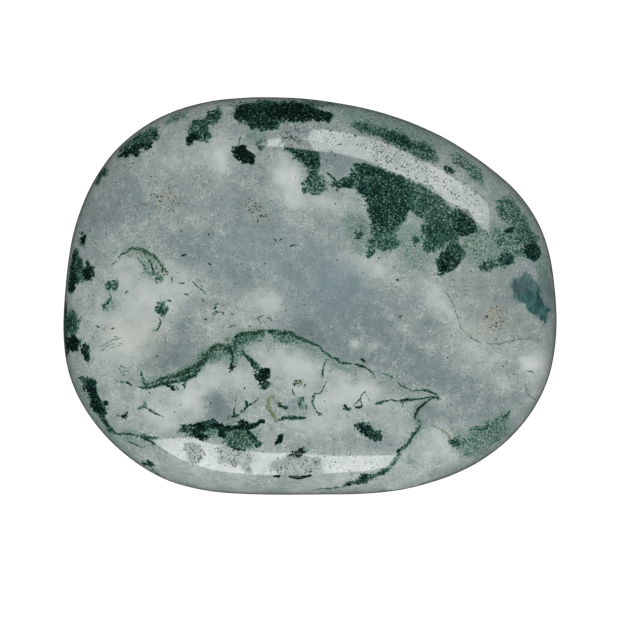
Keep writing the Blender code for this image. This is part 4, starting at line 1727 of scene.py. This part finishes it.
    def make(self, finish: PolishedMossAgate) -> bpy.types.Object:
        """Builds the stone in its finish, in place of its plain solid.

        Args:
            finish: What the stone is dressed in.

        Returns:
            The finished object.
        """
        stone = self.cage()
        stone.name = stone.data.name = self.name
        self.smooth(stone)
        self.fit(stone)
        bpy.ops.object.shade_smooth()
        stone.data.materials.append(finish.make())
        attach(stone, "root")
        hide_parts(STONE_NODE)
        return stone


@dataclass(frozen=True)
class Softbox:
    """A rectangular light that faces the stone.

    Attributes:
        azimuth: Where it stands round the stone, anticlockwise from +X, in degrees.
        elevation: How high it stands, in degrees.
        width: Its breadth, level, in metres.
        height: Its other side, in metres.
        radiance: How bright its face is.
        roll: How far it is turned on its own axis, clockwise as seen from the stone, in degrees.
        distance: How far it stands from the stone, in metres.
    """

    name: str
    azimuth: float
    elevation: float
    width: float
    height: float
    radiance: float
    roll: float = 0.0
    distance: float = 0.6

    def make(self) -> bpy.types.Object:
        """Sets up the light.

        Returns:
            The light's object.
        """
        azimuth = math.radians(self.azimuth)
        elevation = math.radians(self.elevation)
        toward = Vector(
            (
                math.cos(azimuth) * math.cos(elevation),
                math.sin(azimuth) * math.cos(elevation),
                math.sin(elevation),
            )
        )
        bpy.ops.object.light_add(type="AREA", location=toward * self.distance)
        lamp = bpy.context.object
        lamp.name = lamp.data.name = self.name
        turn = toward.to_track_quat("Z", "Y") @ Quaternion((0.0, 0.0, 1.0), math.radians(self.roll))
        lamp.rotation_euler = turn.to_euler()
        lamp.data.shape = "RECTANGLE"
        lamp.data.size = self.width
        lamp.data.size_y = self.height
        lamp.data.energy = self.radiance * math.pi * self.width * self.height
        return lamp


@dataclass
class Studio:
    """The plain studio round the stone: a white floor, two softboxes, an even sky and the camera.

    Attributes:
        softboxes: The lights whose mirror images are the highlights along the stone's edge.
        ambient: How bright the even light from all round is, which leaves no mirror image.
        floor_size: The floor's side, in metres.
        floor_albedo: How much of the light that falls on it the floor throws back.
        floor_glow: How bright the floor looks to the camera by itself.
        glow_share: How much of what the camera sees of the floor is that glow.
        lens_mm: The camera's focal length.
        sensor_mm: The breadth of its picture.
        camera_y_mm: How far it stands from the stone's middle, along the stone's width.
        camera_z_mm: How high it stands.
    """

    softboxes: tuple[Softbox, ...] = (
        Softbox("lower_softbox", -100.4, 40.0, 0.42, 0.34, 4.9, -28.0),
        Softbox("upper_softbox", 61.5, 52.0, 0.37, 0.28, 4.4, 3.4),
    )
    ambient: float = 0.56
    floor_size: float = 4.0
    floor_albedo: float = 0.8
    floor_glow: float = 1.16
    glow_share: float = 0.85
    lens_mm: float = 200.0
    sensor_mm: float = 36.0
    camera_y_mm: float = -1.42
    camera_z_mm: float = 356.3

    def floor(self) -> bpy.types.Object:
        """The floor, which is plain white to the camera, pale grey to the stone and dark in its gloss.

        Returns:
            The floor.
        """
        bpy.ops.mesh.primitive_plane_add(size=self.floor_size)
        floor = bpy.context.object
        floor.name = floor.data.name = "floor"
        material = bpy.data.materials.new("white_floor")
        material.use_nodes = True
        sketch = NodeSketch(material.node_tree)
        surface = material.node_tree.nodes["Principled BSDF"]
        surface.inputs["Base Color"].default_value = (*[self.floor_albedo] * 3, 1.0)
        surface.inputs["Roughness"].default_value = 1.0
        surface.inputs["Specular IOR Level"].default_value = 0.0
        rays = sketch.node("ShaderNodeLightPath").outputs
        seen, mirrored = rays["Is Camera Ray"], rays["Is Glossy Ray"]
        glow = sketch.node("ShaderNodeEmission")
        sketch.feed(glow.inputs["Strength"], sketch.math("MULTIPLY", seen, self.floor_glow))
        mix = sketch.node("ShaderNodeMixShader")
        share = sketch.math("MAXIMUM", sketch.math("MULTIPLY", seen, self.glow_share), mirrored)
        sketch.feed(mix.inputs[0], share)
        sketch.feed(mix.inputs[1], surface.outputs[0])
        sketch.feed(mix.inputs[2], glow.outputs[0])
        sketch.feed(material.node_tree.nodes["Material Output"].inputs["Surface"], mix.outputs[0])
        floor.data.materials.append(material)
        return floor

    def surroundings(self) -> None:
        """The even light from all round, which the polish doesn't mirror."""
        world = bpy.data.worlds.new("studio")
        bpy.context.scene.world = world
        world.use_nodes = True
        world.cycles_visibility.glossy = False
        background = world.node_tree.nodes["Background"]
        background.inputs["Color"].default_value = (1.0, 1.0, 1.0, 1.0)
        background.inputs["Strength"].default_value = self.ambient

    def camera(self) -> bpy.types.Object:
        """The camera, which looks straight down on the stone.

        Returns:
            The camera's object.
        """
        spot = (0.0, self.camera_y_mm * MM, self.camera_z_mm * MM)
        bpy.ops.object.camera_add(location=spot, rotation=(0.0, 0.0, 0.0))
        camera = bpy.context.object
        camera.name = camera.data.name = "camera"
        camera.data.lens = self.lens_mm
        camera.data.sensor_width = self.sensor_mm
        camera.data.clip_start = 0.01
        bpy.context.scene.camera = camera
        return camera

    def make(self) -> None:
        """Sets up the floor, the lights, the surroundings and the camera."""
        self.floor()
        for softbox in self.softboxes:
            softbox.make()
        self.surroundings()
        self.camera()
        bpy.context.scene.view_settings.view_transform = "Standard"


def main() -> None:
    """Builds the stone and the studio."""
    logging.basicConfig(level=logging.INFO, format="%(message)s")
    log.info("packed model: %s", ", ".join(frame["nodes"]))
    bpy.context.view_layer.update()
    stone = MossAgateStone()
    shown = stone.make(PolishedMossAgate(stone.thickness_mm))
    log.info("%s: %d faces", shown.name, len(shown.data.polygons))
    Studio().make()
    log.info("studio: floor, softboxes, surroundings and camera")


if __name__ == "__main__":
    main()
